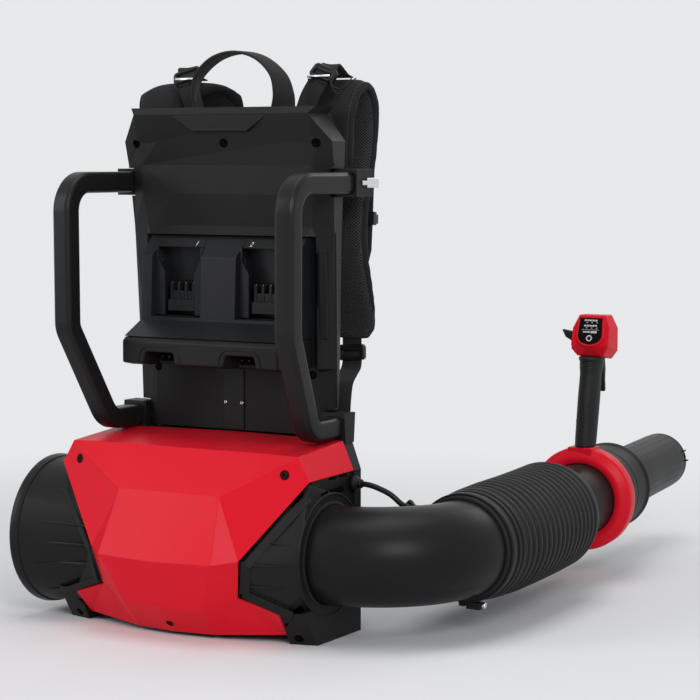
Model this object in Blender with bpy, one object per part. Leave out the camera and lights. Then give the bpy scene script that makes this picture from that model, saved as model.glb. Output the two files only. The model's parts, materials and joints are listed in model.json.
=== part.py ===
"""Backpack leaf blower, standing on the ground with its tube held out level.

X runs across the wearer's back, and the blower tube is at +X, the wearer's right. Y runs the way the
wearer faces, so the battery bays look along -Y and the harness is at +Y. Z is up. The origin is on the
ground, in the machine's middle plane, right under the fan's axis, which runs along X.

Sizes are in millimetres here. Each mesh is brought to metres as its object is made.
"""
import math

import bmesh
import bpy
from mathutils import Matrix, Vector

MM = 0.001
GAP = 0.3                    # clearance between pieces that touch

# Fan and duct, all turned round the fan's axis
FAN_HEIGHT = 87.0            # fan axis above the ground
OUTLET_X = 150.0             # face of the housing that the elbow turns against
DUCT_RADIUS = 59.5           # bore round the impeller
DUCT_WALL = 2.5
OUTLET_RADIUS = 43.5         # bore of the outlet spigot
SPIGOT_WALL = 2.1
BELL_RIM_RADIUS = 79.0
BELL_RIM_X = -192.0
BELL_THROAT_X = -96.0
HUB_RADIUS = 31.0            # motor pod and impeller hub
POD_WALL = 2.5
BLADE_COUNT = 9
VANE_COUNT = 7
SHAFT_RADIUS = 4.0
BEARING_RADIUS = 11.0

# Lower body
BODY_HALF_WIDTH = 150.0
BODY_REAR_Y = 76.0
COVER_WALL = 3.0

# Upper housing and back plate
HOUSING_TOP = 532.0
HOUSING_BOTTOM = 197.3
PLATE_THICKNESS = 10.0
PLATE_HALF_WIDTH = 108.0

# Battery dock
BAY_CENTRE_X = 52.0
BAY_WIDTH = 56.0
BAY_BOTTOM = 317.0
BAY_TOP = 388.0
BAY_BACK_Y = 51.0
CONTACT_RECESS = 0.6         # how far the terminal block is let into the bay's back wall

# Guard bars
BAR_SIZE = 22.0
BAR_CORNER = 5.0

# Hose. Stations are distances along the hose's centre line from the elbow's inlet.
ELBOW_RADIUS = 49.7
ELBOW_WALL = 3.0
ELBOW_BEND = 95.0            # radius of the bend's centre line
ELBOW_LEAD = 1.7             # straight part ahead of the bend
HOSE_TURN = math.radians(5.17)
HOSE_TURN_LENGTH = 200.0
HOSE_TURN_WAY = Vector((-0.968, 0.0, 0.251))
ELBOW_TAIL = 23.0
BELLOWS_RADIUS = 59.8
RIB_COUNT = 18
FRONT_TUBE_RADIUS = 41.0
TUBE_WALL = 2.5
SOCKET_RADIUS = 49.0
RING_RADIUS = 59.4
NOZZLE_RADIUS = 35.4

# Handle
GRIP_FOOT = 151.8
GRIP_TOP = 253.5
GRIP_LEAN_Y = 17.0           # how far the grip's top leans forward of its foot
CABLE_RADIUS = 2.9
LUG_HALF = 3.5               # half the length of a lug that holds the cable
RAIL_TURN = 215.0            # where round the front tube the handle's rail runs, in degrees

# Harness
PAD_WIDTH = 74.0
PAD_THICKNESS = 18.0
WEBBING = 23.0
WEBBING_THICKNESS = 1.6

SIDES = 32                   # sides of a large round piece
HOSE_SIDES = 24
POD_SIDES = 24
BELL_SIDES = 40


def clear_scene():
    for item in list(bpy.data.objects):
        bpy.data.objects.remove(item, do_unlink=True)


def material(name, colour, roughness, metallic=0.0):
    finish = bpy.data.materials.new(name)
    finish.use_nodes = True
    shader = finish.node_tree.nodes["Principled BSDF"]
    shader.inputs["Base Color"].default_value = (*colour, 1.0)
    shader.inputs["Roughness"].default_value = roughness
    shader.inputs["Metallic"].default_value = metallic
    return finish


def solid(name, shape, finish, origin=(0, 0, 0), soft_angle=None):
    """Make the named object from a closed shape in millimetres, with its origin at the given point."""
    bmesh.ops.recalc_face_normals(shape, faces=shape.faces)
    place = Matrix.Scale(MM, 4) @ Matrix.Translation(-Vector(origin))
    bmesh.ops.transform(shape, matrix=place, verts=shape.verts)
    mesh = bpy.data.meshes.new(name)
    shape.to_mesh(mesh)
    shape.free()
    mesh.materials.append(finish)
    item = bpy.data.objects.new(name, mesh)
    item.location = Vector(origin) * MM
    bpy.context.scene.collection.objects.link(item)
    if soft_angle:
        mesh.shade_smooth()
        mesh.set_sharp_from_angle(angle=math.radians(soft_angle))
    return item


def settle(item):
    """Take an object's modifiers into its own mesh."""
    bpy.context.view_layer.update()
    evaluated = item.evaluated_get(bpy.context.evaluated_depsgraph_get())
    result = bpy.data.meshes.new_from_object(evaluated)
    item.modifiers.clear()
    before = item.data
    item.data = result
    bpy.data.meshes.remove(before)
    result.name = item.name


def shape_boolean(item, tool, operation):
    step = item.modifiers.new(operation, "BOOLEAN")
    step.operation = operation
    step.solver = "EXACT"
    step.object = tool
    settle(item)
    bpy.data.objects.remove(tool, do_unlink=True)


def cut(item, shape):
    shape_boolean(item, solid("cutter", shape, item.data.materials[0]), "DIFFERENCE")


def drop_crumbs(item):
    """Keep only the largest loose part, where two cuts have left a crumb between them."""
    shape = bmesh.new()
    shape.from_mesh(item.data)
    bmesh.ops.remove_doubles(shape, verts=shape.verts, dist=0.00001)
    bmesh.ops.dissolve_degenerate(shape, edges=shape.edges, dist=0.00001)
    waiting = set(shape.verts)
    parts = []
    while waiting:
        part = set()
        edge_of_search = [waiting.pop()]
        while edge_of_search:
            spot = edge_of_search.pop()
            part.add(spot)
            for link in spot.link_edges:
                other = link.other_vert(spot)
                if other in waiting:
                    waiting.remove(other)
                    edge_of_search.append(other)
        parts.append(part)
    parts.sort(key=len)
    for part in parts[:-1]:
        bmesh.ops.delete(shape, geom=list(part), context="VERTS")
    shape.to_mesh(item.data)
    shape.free()


def join(item, shape):
    shape_boolean(item, solid("addition", shape, item.data.materials[0]), "UNION")


def mirrored(points):
    return list(points) + [(-x, y, z) for x, y, z in points]


def hull(points):
    """The convex faceted block round a set of points."""
    shape = bmesh.new()
    for point in points:
        shape.verts.new(point)
    result = bmesh.ops.convex_hull(shape, input=shape.verts)
    loose = {part for part in result["geom_interior"] + result["geom_unused"]
             if isinstance(part, bmesh.types.BMVert)}
    bmesh.ops.delete(shape, geom=list(loose), context="VERTS")
    bmesh.ops.dissolve_limit(shape, angle_limit=math.radians(0.5), verts=shape.verts, edges=shape.edges)
    return shape


def box(low, high):
    centre = (Vector(low) + Vector(high)) / 2
    size = Vector(high) - Vector(low)
    shape = bmesh.new()
    bmesh.ops.create_cube(shape, size=1.0, matrix=Matrix.Translation(centre) @ Matrix.Diagonal(size).to_4x4())
    return shape


def prism(outline, left, right):
    """An outline of (y, z) pairs, extruded along X."""
    shape = bmesh.new()
    face = shape.faces.new([shape.verts.new((left, y, z)) for y, z in outline])
    grown = bmesh.ops.extrude_face_region(shape, geom=[face])
    moved = [part for part in grown["geom"] if isinstance(part, bmesh.types.BMVert)]
    bmesh.ops.translate(shape, vec=(right - left, 0, 0), verts=moved)
    return shape


def turned(profile, centre, direction, sides=SIDES):
    """A closed profile of (along, radius) pairs, spun round the line through the centre."""
    shape = bmesh.new()
    line = [shape.verts.new((radius, 0, along)) for along, radius in profile]
    for first, second in zip(line, line[1:] + line[:1]):
        if first.co.x > 0 or second.co.x > 0:
            shape.edges.new((first, second))
    bmesh.ops.spin(shape, geom=shape.verts[:] + shape.edges[:], cent=(0, 0, 0), axis=(0, 0, 1),
                   angle=math.tau, steps=sides, use_merge=True)
    bmesh.ops.remove_doubles(shape, verts=shape.verts, dist=0.0001)
    turn = Vector(direction).to_track_quat("Z", "Y").to_matrix().to_4x4()
    bmesh.ops.transform(shape, matrix=Matrix.Translation(centre) @ turn, verts=shape.verts)
    return shape


def on_fan_axis(profile, sides=SIDES):
    """A turned shape whose profile gives (x, radius) along the fan's axis."""
    return turned(profile, (0, 0, FAN_HEIGHT), (1, 0, 0), sides)


def skin(shape, rings, closed_ends=True):
    """Join rings of vertices, one after another, into the wall of a shape."""
    for ring, following in zip(rings, rings[1:]):
        for index in range(len(ring)):
            after = (index + 1) % len(ring)
            shape.faces.new((ring[index], ring[after], following[after], following[index]))
    if closed_ends:
        shape.faces.new(rings[0])
        shape.faces.new(rings[-1])


def sweep(path, outline, side, sizes=None):
    """Carry an outline of (across, out) pairs along a path.

    Across stays as near as it can to the side, which is one vector or one for each point.
    """
    shape = bmesh.new()
    path = [Vector(point) for point in path]
    rings = []
    for index, point in enumerate(path):
        before = path[max(index - 1, 0)]
        after = path[min(index + 1, len(path) - 1)]
        along = (after - before).normalized()
        wanted = Vector(side[index] if isinstance(side, list) else side)
        out = along.cross(wanted).normalized()
        across = out.cross(along)
        wide, thick = sizes[index] if sizes else (1.0, 1.0)
        rings.append([shape.verts.new(point + across * (u * wide) + out * (v * thick)) for u, v in outline])
    skin(shape, rings)
    return shape


def smooth_path(points, steps):
    """Read a smooth curve through a route's own points."""
    points = [Vector(point) for point in points]
    ends = [points[0] * 2 - points[1]] + points + [points[-1] * 2 - points[-2]]
    route = []
    for a, b, c, d in zip(ends, ends[1:], ends[2:], ends[3:]):
        for step in range(steps):
            t = step / steps
            bend = (2 * a - 5 * b + 4 * c - d) * t ** 2 + (3 * b - a - 3 * c + d) * t ** 3
            route.append((2 * b + (c - a) * t + bend) / 2)
    route.append(points[-1])
    return route


def rounded_path(points, radii, steps=5):
    """A bent bar's centre line: straight runs with an arc at each inner point."""
    points = [Vector(point) for point in points]
    route = [points[0]]
    for before, corner, after, radius in zip(points, points[1:], points[2:], radii):
        way_in = (corner - before).normalized()
        way_out = (after - corner).normalized()
        half_turn = way_in.angle(way_out) / 2
        start = corner - way_in * (radius * math.tan(half_turn))
        centre = corner + (way_out - way_in).normalized() * (radius / math.cos(half_turn))
        finish = corner + way_out * (radius * math.tan(half_turn))
        for step in range(steps + 1):
            spoke = (start - centre).normalized().slerp((finish - centre).normalized(), step / steps)
            route.append(centre + spoke.normalized() * radius)
    route.append(points[-1])
    return route


def rounded_rectangle(width, height, radius, steps=2):
    outline = []
    for quarter in range(4):
        turn = quarter * math.pi / 2
        centre_x = (width / 2 - radius) * (1 if quarter in (0, 3) else -1)
        centre_y = (height / 2 - radius) * (1 if quarter in (0, 1) else -1)
        for step in range(steps + 1):
            angle = turn + step / steps * math.pi / 2
            outline.append((centre_x + radius * math.cos(angle), centre_y + radius * math.sin(angle)))
    return outline


def circle(radius, sides):
    return [(radius * math.cos(math.tau * step / sides), radius * math.sin(math.tau * step / sides))
            for step in range(sides)]


# ---------------------------------------------------------------- hose line

def hose_point(distance):
    """The hose's centre line: the point and the way it runs, at a distance from the elbow's inlet."""
    start = Vector((OUTLET_X + GAP, 0, FAN_HEIGHT))
    bend_length = ELBOW_BEND * math.pi / 2
    if distance <= ELBOW_LEAD:
        return start + Vector((distance, 0, 0)), Vector((1, 0, 0))
    start = start + Vector((ELBOW_LEAD, 0, 0))
    distance = distance - ELBOW_LEAD
    if distance <= bend_length:
        turn = distance / ELBOW_BEND
        offset = Vector((math.sin(turn), 1 - math.cos(turn), 0)) * ELBOW_BEND
        return start + offset, Vector((math.cos(turn), math.sin(turn), 0))
    start = start + Vector((ELBOW_BEND, ELBOW_BEND, 0))
    distance = distance - bend_length
    forward = Vector((0, 1, 0))
    if distance <= ELBOW_TAIL:
        return start + forward * distance, forward
    start = start + forward * ELBOW_TAIL
    distance = distance - ELBOW_TAIL
    radius = HOSE_TURN_LENGTH / HOSE_TURN
    turn = min(distance, HOSE_TURN_LENGTH) / radius
    way = forward * math.cos(turn) + HOSE_TURN_WAY * math.sin(turn)
    point = start + forward * (radius * math.sin(turn)) + HOSE_TURN_WAY * (radius * (1 - math.cos(turn)))
    return point + way * max(distance - HOSE_TURN_LENGTH, 0), way


ELBOW_END = ELBOW_LEAD + ELBOW_BEND * math.pi / 2 + ELBOW_TAIL - 0.5
BELLOWS_START = ELBOW_END - 21.5
BELLOWS_END = ELBOW_END + HOSE_TURN_LENGTH + 12.5
TUBE_START = BELLOWS_END - 12.0
RING_STATION = BELLOWS_END + 111.0
SOCKET_START = RING_STATION + 17.0
FLANGE_STATION = BELLOWS_END + 204.0
NOZZLE_END = BELLOWS_END + 408.0
TUBE_WAY = hose_point(NOZZLE_END)[1]


def hose_ring(shape, distance, radius, sides):
    point, way = hose_point(distance)
    across = way.cross(Vector((0, 0, 1))).normalized()
    up = across.cross(way)
    return [shape.verts.new(point + across * u + up * v) for u, v in circle(radius, sides)]


def beside_hose(distance, across_by, up_by):
    """A point level with a station on the hose, so far across and up from its centre line."""
    point, way = hose_point(distance)
    across = way.cross(Vector((0, 0, 1))).normalized()
    return point + across * across_by + across.cross(way) * up_by


def hose_shell(outer, inner, sides=HOSE_SIDES):
    """A piece of tube along the hose, from its outer and inner (station, radius) pairs."""
    shape = bmesh.new()
    outside = [hose_ring(shape, station, radius, sides) for station, radius in outer]
    inside = [hose_ring(shape, station, radius, sides) for station, radius in inner]
    skin(shape, outside + inside[::-1] + outside[:1], closed_ends=False)
    return shape


# ---------------------------------------------------------------- lower body

def cover_sheet(grow=1.0):
    """The red cover's outer skin, faceted, as an open sheet. Grow spreads it a little past its rim."""
    half = {
        "top_back": (137, 47, 195), "side_back": (150, 47, 166), "top_front": (136.3, -38.9, 188.2),
        "side_front": (149.8, -39.7, 164.6), "dish_top": (104.8, -36, 188.8),
        "dish_foot": (60.3, -64.4, 146.6),
        "brow": (67.8, -92.1, 82.6), "notch_top": (88.9, -74.4, 85.9), "notch_foot": (81.4, -64.3, 46.3),
        "chin": (48.4, -76, 33.6), "notch_out": (123.1, -54.2, 32), "corner_foot": (120.2, -33.5, 8.9),
        "chin_foot": (46, -52, 4.5),
    }
    middle = {
        "mid_back": (0, 56, 196), "mid_top": (0, -36, 189), "mid_dish": (0, -64.4, 146.6),
        "mid_brow": (0, -95, 81), "mid_chin": (0, -79, 32), "mid_foot": (0, -56, 4),
    }
    faces = (
        ("mid_back", "top_back", "top_front", "dish_top", "mid_top"),
        ("top_back", "side_back", "side_front", "top_front"),
        ("mid_top", "dish_top", "dish_foot", "mid_dish"),
        ("dish_top", "top_front", "dish_foot"),
        ("top_front", "side_front", "dish_foot"),
        ("side_front", "notch_top", "dish_foot"),
        ("notch_top", "brow", "dish_foot"),
        ("mid_dish", "dish_foot", "brow", "mid_brow"),
        ("mid_brow", "brow", "chin", "mid_chin"),
        ("brow", "notch_top", "notch_foot"),
        ("brow", "notch_foot", "chin"),
        ("chin", "notch_foot", "chin_foot"),
        ("notch_foot", "notch_out", "corner_foot"),
        ("notch_foot", "corner_foot", "chin_foot"),
        ("mid_chin", "chin", "chin_foot", "mid_foot"),
    )
    shape = bmesh.new()
    centre = Vector((0, -20, 100))
    for side in (1, -1):
        corners = {}
        for name, (x, y, z) in list(half.items()) + list(middle.items()):
            spot = centre + (Vector((x * side, y, z)) - centre) * grow
            corners[name] = shape.verts.new(spot)
        for names in faces:
            loop = [corners[name] for name in names]
            shape.faces.new(loop if side > 0 else loop[::-1])
    bmesh.ops.remove_doubles(shape, verts=shape.verts, dist=0.001)
    bmesh.ops.recalc_face_normals(shape, faces=shape.faces)
    front = min(shape.faces, key=lambda face: face.calc_center_median().y)
    if front.normal.y > 0:
        bmesh.ops.reverse_faces(shape, faces=shape.faces)
    return shape


def sheet_solid(name, shape, finish, thickness, offset):
    """Give an open sheet its wall. Offset runs from -1, all inward, to 1, all outward."""
    bmesh.ops.scale(shape, vec=(MM, MM, MM), verts=shape.verts)
    mesh = bpy.data.meshes.new(name)
    shape.to_mesh(mesh)
    shape.free()
    mesh.materials.append(finish)
    item = bpy.data.objects.new(name, mesh)
    bpy.context.scene.collection.objects.link(item)
    wall = item.modifiers.new("wall", "SOLIDIFY")
    wall.thickness = thickness * MM
    wall.offset = offset
    wall.use_even_offset = True
    settle(item)
    return item


def make_red_cover(finish):
    cover = sheet_solid("red_cover", cover_sheet(), finish, COVER_WALL, -1.0)
    for x, y, z in ((124.5, -48.3, 171.3), (-124.5, -48.3, 171.3)):
        cut(cover, turned([(-12, 0), (-12, 3.2), (12, 3.2), (12, 0)], (x, y, z), (-0.28, 0.94, -0.2), 12))
    cut(cover, turned([(-12, 0), (-12, 3.2), (12, 3.2), (12, 0)], (0, -64, 14), (0, 0.77, 0.64), 12))
    return cover


def cover_clearance(item):
    """Cut away whatever of the piece would touch the cover."""
    inward = COVER_WALL + 3.0
    outward = 9.0
    tool = sheet_solid("clearance", cover_sheet(1.006), item.data.materials[0], inward + outward,
                       (outward - inward) / (outward + inward))
    shape_boolean(item, tool, "DIFFERENCE")


def outlet_fairing():
    """The faceted cheek that leads from the cover's edge round to the outlet."""
    points = [(146.5, -36, 162), (92, -71, 84), (84.5, -61, 47.5), (122, -51, 33), (100, -10, 87)]
    for step in range(25):
        angle = math.tau * step / 24
        points.append((BODY_HALF_WIDTH, 60 * math.cos(angle), FAN_HEIGHT + 60 * math.sin(angle)))
    return hull(points)


def intake_band():
    """The rim of the housing round the bell, behind the cover's left edge."""
    return hull([(-146.5, -36, 162), (-92, -71, 84), (-84.5, -61, 47.5), (-122, -51, 33),
                 (-146.5, -10, 162), (-88, -10, 87), (-86, -10, 45), (-126, -10, 30)])


def make_fan_housing(finish):
    front_block = hull(mirrored([(122, -30, 9), (147, -30, 34), (147, -30, 163), (134, -30, 184.5),
                                 (122, 50, 9), (147, 50, 34), (147, 50, 163), (134, 50, 190)]))
    housing = solid("fan_housing", front_block, finish)
    rear = [(122, 47.8, 9), (150, 47.8, 30), (150, 47.8, 166), (136, 47.8, 195.5),
            (122, BODY_REAR_Y, 9), (150, 61, 30), (150, 61, 166), (136, 66, 195.5),
            (132, BODY_REAR_Y, 30), (132, BODY_REAR_Y, 160), (120, BODY_REAR_Y, 195.5)]
    join(housing, hull(mirrored(rear)))
    join(housing, outlet_fairing())
    join(housing, intake_band())
    for side in (1, -1):
        foot = [(150, -50, 36), (122, -52, 33), (150.7, -25.6, 0), (123, -33, 0), (150, 61, 0), (133, 88, 0),
                (126, 101, 0), (121, 101, 0), (121, 101, 14), (126, 101, 14), (133, 88, 22), (150, 61, 40),
                (121, 61, 40)]
        join(housing, hull([(x * side, y, z) for x, y, z in foot]))
        shoulder = [(108.4, 51, 222), (136.5, 51, 222), (136.5, 73, 222), (108.4, 73, 222), (108.4, 51, 192),
                    (139, 49, 192), (139, 66, 192), (108.4, 73, 192)]
        join(housing, hull([(x * side, y, z) for x, y, z in shoulder]))
    inside = [(118, -46, 13), (143, -46, 36), (143, -46, 161), (131, -46, 181), (118, 72, 13), (143, 58, 36),
              (143, 58, 161), (129, 72, 155), (125, 50, 184)]
    cut(housing, hull(mirrored(inside)))
    duct_hole = DUCT_RADIUS + DUCT_WALL + GAP
    spigot_hole = OUTLET_RADIUS + SPIGOT_WALL + 1
    cut(housing, on_fan_axis([(-160, 0), (-160, duct_hole), (60, duct_hole), (135, spigot_hole),
                              (170, spigot_hole), (170, 0)]))
    cut(housing, bell_solid(GAP))
    cover_clearance(housing)
    for side in (1, -1):
        cut(housing, bar_shape(side, BAR_SIZE + 2 * GAP, 57.5))
    for y, z in ((10, 175), (30, 175)):
        cut(housing, box((OUTLET_X - 12, y - 8, z - 14), (OUTLET_X + 5, y + 8, z - 8)))
    drop_crumbs(housing)
    return housing


def make_base_plate(finish):
    """Flat pan across the machine's underside, between the two skids."""
    corners = [(112, -8, 0), (116, -8, 8.7), (112, 87, 0), (120.5, 87, 8.7), (120.5, 0, 0), (120.5, 0, 8.7),
               (120.5, 87, 0)]
    return solid("base_plate", hull(mirrored(corners)), finish)


def bell_solid(clearance):
    """The bell's outer form without its bore."""
    throat = DUCT_RADIUS + DUCT_WALL
    rim = BELL_RIM_RADIUS + clearance
    return on_fan_axis([(BELL_THROAT_X + clearance, 0), (BELL_THROAT_X + clearance, throat + clearance),
                        (BELL_RIM_X + 2, rim), (BELL_RIM_X - 4, rim), (BELL_RIM_X - 4, 0)], BELL_SIDES)


def make_intake_bell(finish):
    throat = DUCT_RADIUS + DUCT_WALL
    profile = [(BELL_THROAT_X, throat), (BELL_RIM_X + 3, BELL_RIM_RADIUS), (BELL_RIM_X, BELL_RIM_RADIUS - 0.6),
               (BELL_RIM_X, BELL_RIM_RADIUS - 3), (BELL_RIM_X + 20, 70), (BELL_RIM_X + 60, 62.5),
               (BELL_THROAT_X, DUCT_RADIUS)]
    return solid("intake_bell", on_fan_axis(profile, BELL_SIDES), finish, soft_angle=40)


def make_intake_grille(finish):
    """Finger guard in the bell's throat: three hoops on six spokes, set back from the impeller."""
    low, high = -131.0, -127.0
    outer_hoop = on_fan_axis([(low, 58), (high, 58), (high, 61.5), (low, 61.5)], 24)
    grille = solid("intake_grille", outer_hoop, finish)
    for radius in (20, 39):
        hoop = [(low, radius), (high, radius), (high, radius + 2.5), (low, radius + 2.5)]
        join(grille, on_fan_axis(hoop, 18))
    for step in range(3):
        spoke = box((low + 0.5, -59.5, -1.3), (high - 0.5, 59.5, 1.3))
        turn = Matrix.Translation((0, 0, FAN_HEIGHT)) @ Matrix.Rotation(step * math.pi / 3, 4, "X")
        bmesh.ops.transform(spoke, matrix=turn, verts=spoke.verts)
        join(grille, spoke)
    return grille


def make_fan_duct(finish):
    throat = DUCT_RADIUS + DUCT_WALL
    spigot = OUTLET_RADIUS + SPIGOT_WALL
    start = BELL_THROAT_X + GAP
    end = OUTLET_X + 8
    profile = [(start, DUCT_RADIUS), (60, DUCT_RADIUS), (135, OUTLET_RADIUS), (end, OUTLET_RADIUS),
               (end, spigot), (135, spigot), (60, throat), (start, throat)]
    return solid("fan_duct", on_fan_axis(profile), finish, soft_angle=40)


def make_guide_vanes(finish):
    """The motor's pod, held in the middle of the duct by curved vanes."""
    front, back = -12.0, 88.0
    bore = HUB_RADIUS - POD_WALL
    profile = [(front, BEARING_RADIUS + GAP), (front, HUB_RADIUS), (back, HUB_RADIUS), (back, bore),
               (front + 5, bore), (front + 5, BEARING_RADIUS + GAP)]
    pod = solid("guide_vanes", on_fan_axis(profile, POD_SIDES), finish)
    for index in range(VANE_COUNT):
        lean = 9.0
        points = []
        for x, swing in ((2, -lean), (58, 0)):
            for radius in (HUB_RADIUS - 1.2, DUCT_RADIUS - 1.0):
                for half in (-1.0, 1.0):
                    points.append((x, swing + half, math.sqrt(radius ** 2 - swing ** 2)))
        vane = hull(points)
        turn = Matrix.Translation((0, 0, FAN_HEIGHT)) @ Matrix.Rotation(math.tau * index / VANE_COUNT, 4, "X")
        bmesh.ops.transform(vane, matrix=turn, verts=vane.verts)
        join(pod, vane)
    return pod


def make_motor(iron, cap_finish):
    bore = HUB_RADIUS - POD_WALL - GAP
    stator = on_fan_axis([(0, 16), (56, 16), (56, bore), (0, bore)], POD_SIDES)
    solid("motor_stator", stator, iron, soft_angle=40)
    cap = [(62, BEARING_RADIUS + GAP), (62, bore), (88.5, bore), (88.5, HUB_RADIUS), (112, 22), (126, 10),
           (129, 0), (76, 0), (76, 6), (70, 6), (70, BEARING_RADIUS + GAP)]
    solid("motor_tail_cap", on_fan_axis(cap, POD_SIDES), cap_finish, soft_angle=40)


def make_bearing(name, low, high, finish):
    bore = SHAFT_RADIUS + GAP
    race = [(low, bore), (high, bore), (high, BEARING_RADIUS), (low, BEARING_RADIUS)]
    solid(name, on_fan_axis(race, 24), finish, soft_angle=40)


def make_rotor(iron, steel, plastic):
    centre = (0, 0, FAN_HEIGHT)
    rotor = on_fan_axis([(4, SHAFT_RADIUS + GAP), (52, SHAFT_RADIUS + GAP), (52, 15.2), (4, 15.2)], 24)
    solid("motor_rotor", rotor, iron, centre, soft_angle=40)
    shaft = on_fan_axis([(-72, 0), (-72, SHAFT_RADIUS), (74, SHAFT_RADIUS), (74, 0)], 16)
    solid("motor_shaft", shaft, steel, centre, soft_angle=40)
    bore = SHAFT_RADIUS + GAP
    hub = on_fan_axis([(-100, 0), (-97, 10), (-88, 20), (-74, 28), (-66, HUB_RADIUS), (-16, HUB_RADIUS),
                       (-16, HUB_RADIUS - 3), (-63, HUB_RADIUS - 3), (-63, 9), (-30, 9), (-30, bore),
                       (-73, bore), (-73, 0)])
    impeller = solid("impeller", hub, plastic, centre)
    for index in range(BLADE_COUNT):
        join(impeller, fan_blade(math.tau * index / BLADE_COUNT))
    return impeller


def fan_blade(turn):
    """One twisted blade: steep at the hub, flatter at its tip."""
    shape = bmesh.new()
    rings = []
    for radius, chord, angle in ((HUB_RADIUS - 1.5, 44, 52), (45, 42, 38), (DUCT_RADIUS - 1.5, 40, 28)):
        pitch = math.radians(angle)
        ring = []
        for along, thick in ((-0.5, 0.0), (-0.1, 1.4), (0.5, 0.3), (0.5, -0.3), (-0.1, -1.4)):
            x = -41 + along * chord * math.sin(pitch) - thick * math.cos(pitch)
            swing = along * chord * math.cos(pitch) + thick * math.sin(pitch)
            angle_here = turn + swing / radius
            ring.append(shape.verts.new((x, radius * math.sin(angle_here),
                                         FAN_HEIGHT + radius * math.cos(angle_here))))
        rings.append(ring)
    skin(shape, rings)
    return shape


# ---------------------------------------------------------------- upper housing

def make_upper_housing(finish):
    """The tall faceted shell that carries the batteries. Rows run down it: height, then four (x, y)."""
    rows = (
        (HOUSING_TOP, 35, (100, 35), (108, 35), (113, 35)),
        (525, 29, (98, 29), (103, 29), (106, 29)),
        (497, 38.7, (83, 38.7), (108, 38.7), (127, 43)),
        (473, 47, (63.5, 47), (104, 47), (126, 48)),
        (443, 46, (64, 46), (104, 48), (124.5, 51)),
        (410, 47.4, (91, 47.4), (101, 48), (123, 54)),
        (401, 42, (95, 42), (104, 49.6), (122.8, 54.5)),
        (400.4, 57, (98, 57), (104, 49.8), (122.7, 54.6)),
        (266, 57, (98, 57), (104, 52), (120.5, 61)),
        (262, 57, (98, 57), (104, 58), (120.5, 62)),
        (HOUSING_BOTTOM, 57, (98, 57), (104, 58), (119, 62.6)),
    )
    shape = bmesh.new()
    grid = []
    for height, centre_y, *columns in rows:
        half = [(x, y, height) for x, y in columns]
        rear = (columns[-1][0] - 4, BODY_REAR_Y, height)
        line = half + [rear]
        whole = [(-x, y, z) for x, y, z in reversed(line)] + [(0, centre_y, height)] + line
        grid.append([shape.verts.new(point) for point in whole])
    skin(shape, grid)
    bmesh.ops.triangulate(shape, faces=shape.faces)
    housing = solid("upper_housing", shape, finish)
    badge = [(59.5, 29.3, 524.9), (32.4, 30.3, 507.6), (62, 42, 522), (36, 45, 505)]
    join(housing, hull(mirrored(badge)))
    cut(housing, box((-100, 51, 408), (100, 80, 517)))
    cut(housing, box((-95, 61, 202), (95, 80, 412)))
    for side in (1, -1):
        near, far = sorted((119.8 * side, 150 * side))
        cut(housing, box((near, 15, 440.5), (far, 80, 469.5)))
        near, far = sorted((107.7 * side, 150 * side))
        cut(housing, box((near, 15, 180), (far, 85, 224)))
        screw_hole = [(-10, 0), (-10, 3.3), (10, 3.3), (10, 0)]
        cut(housing, turned(screw_hole, (110.2 * side, 41, 495.4), (0, 1, 0), 12))
    return housing


def make_back_plate(finish):
    low, high = BODY_REAR_Y + GAP, BODY_REAR_Y + GAP + PLATE_THICKNESS
    outline = [(96, 531), (104, 522), (PLATE_HALF_WIDTH, 495), (PLATE_HALF_WIDTH, 215), (100, 150), (86, 120)]
    points = [(x, y, z) for x, z in outline for y in (low, high)]
    return solid("back_plate", hull(mirrored(points)), finish)


def make_controller(finish):
    """Motor controller: a potted board with a finned heat sink, fixed to the back plate."""
    rear = BODY_REAR_Y
    board = solid("controller_board", box((-60, rear - 6, 225), (60, rear, 325)), finish)
    for index in range(7):
        x = -48 + index * 16
        join(board, box((x - 2, rear - 13, 232), (x + 2, rear - 5.5, 318)))
    return board


def make_battery_dock(finish):
    """Twin slide-in battery dock: one moulding with two bays."""
    side_view = [(56.6, 400), (46, 400), (28, 378), (25, 312), (-6, 296.2), (56.6, 296.2)]
    dock = solid("battery_dock", prism(side_view, -95, 95), finish)
    for side in (1, -1):
        centre = BAY_CENTRE_X * side
        half = BAY_WIDTH / 2
        cut(dock, hull([(centre - half, BAY_BACK_Y, BAY_BOTTOM), (centre + half, BAY_BACK_Y, BAY_BOTTOM),
                        (centre - half, BAY_BACK_Y, BAY_TOP), (centre + half, BAY_BACK_Y, BAY_TOP),
                        (centre - half - 4, 14, BAY_BOTTOM - 3), (centre + half + 4, 14, BAY_BOTTOM - 3),
                        (centre - half - 4, 14, BAY_TOP), (centre + half + 4, 14, BAY_TOP)]))
        cut(dock, box((centre - 20, BAY_BACK_Y - 1, BAY_BOTTOM + 2),
                      (centre + 20, BAY_BACK_Y + CONTACT_RECESS, BAY_BOTTOM + 35)))
    return dock


def make_terminal_block(name, centre, finish):
    rear = BAY_BACK_Y + CONTACT_RECESS - GAP
    block = solid(name, box((centre - 17, 36, BAY_BOTTOM + 4), (centre + 17, rear, BAY_BOTTOM + 16)), finish)
    for index in range(4):
        x = centre - 13.5 + index * 9
        join(block, box((x - 1.6, 38, BAY_BOTTOM + 15), (x + 1.6, 48, BAY_BOTTOM + 33)))
    return block


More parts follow.
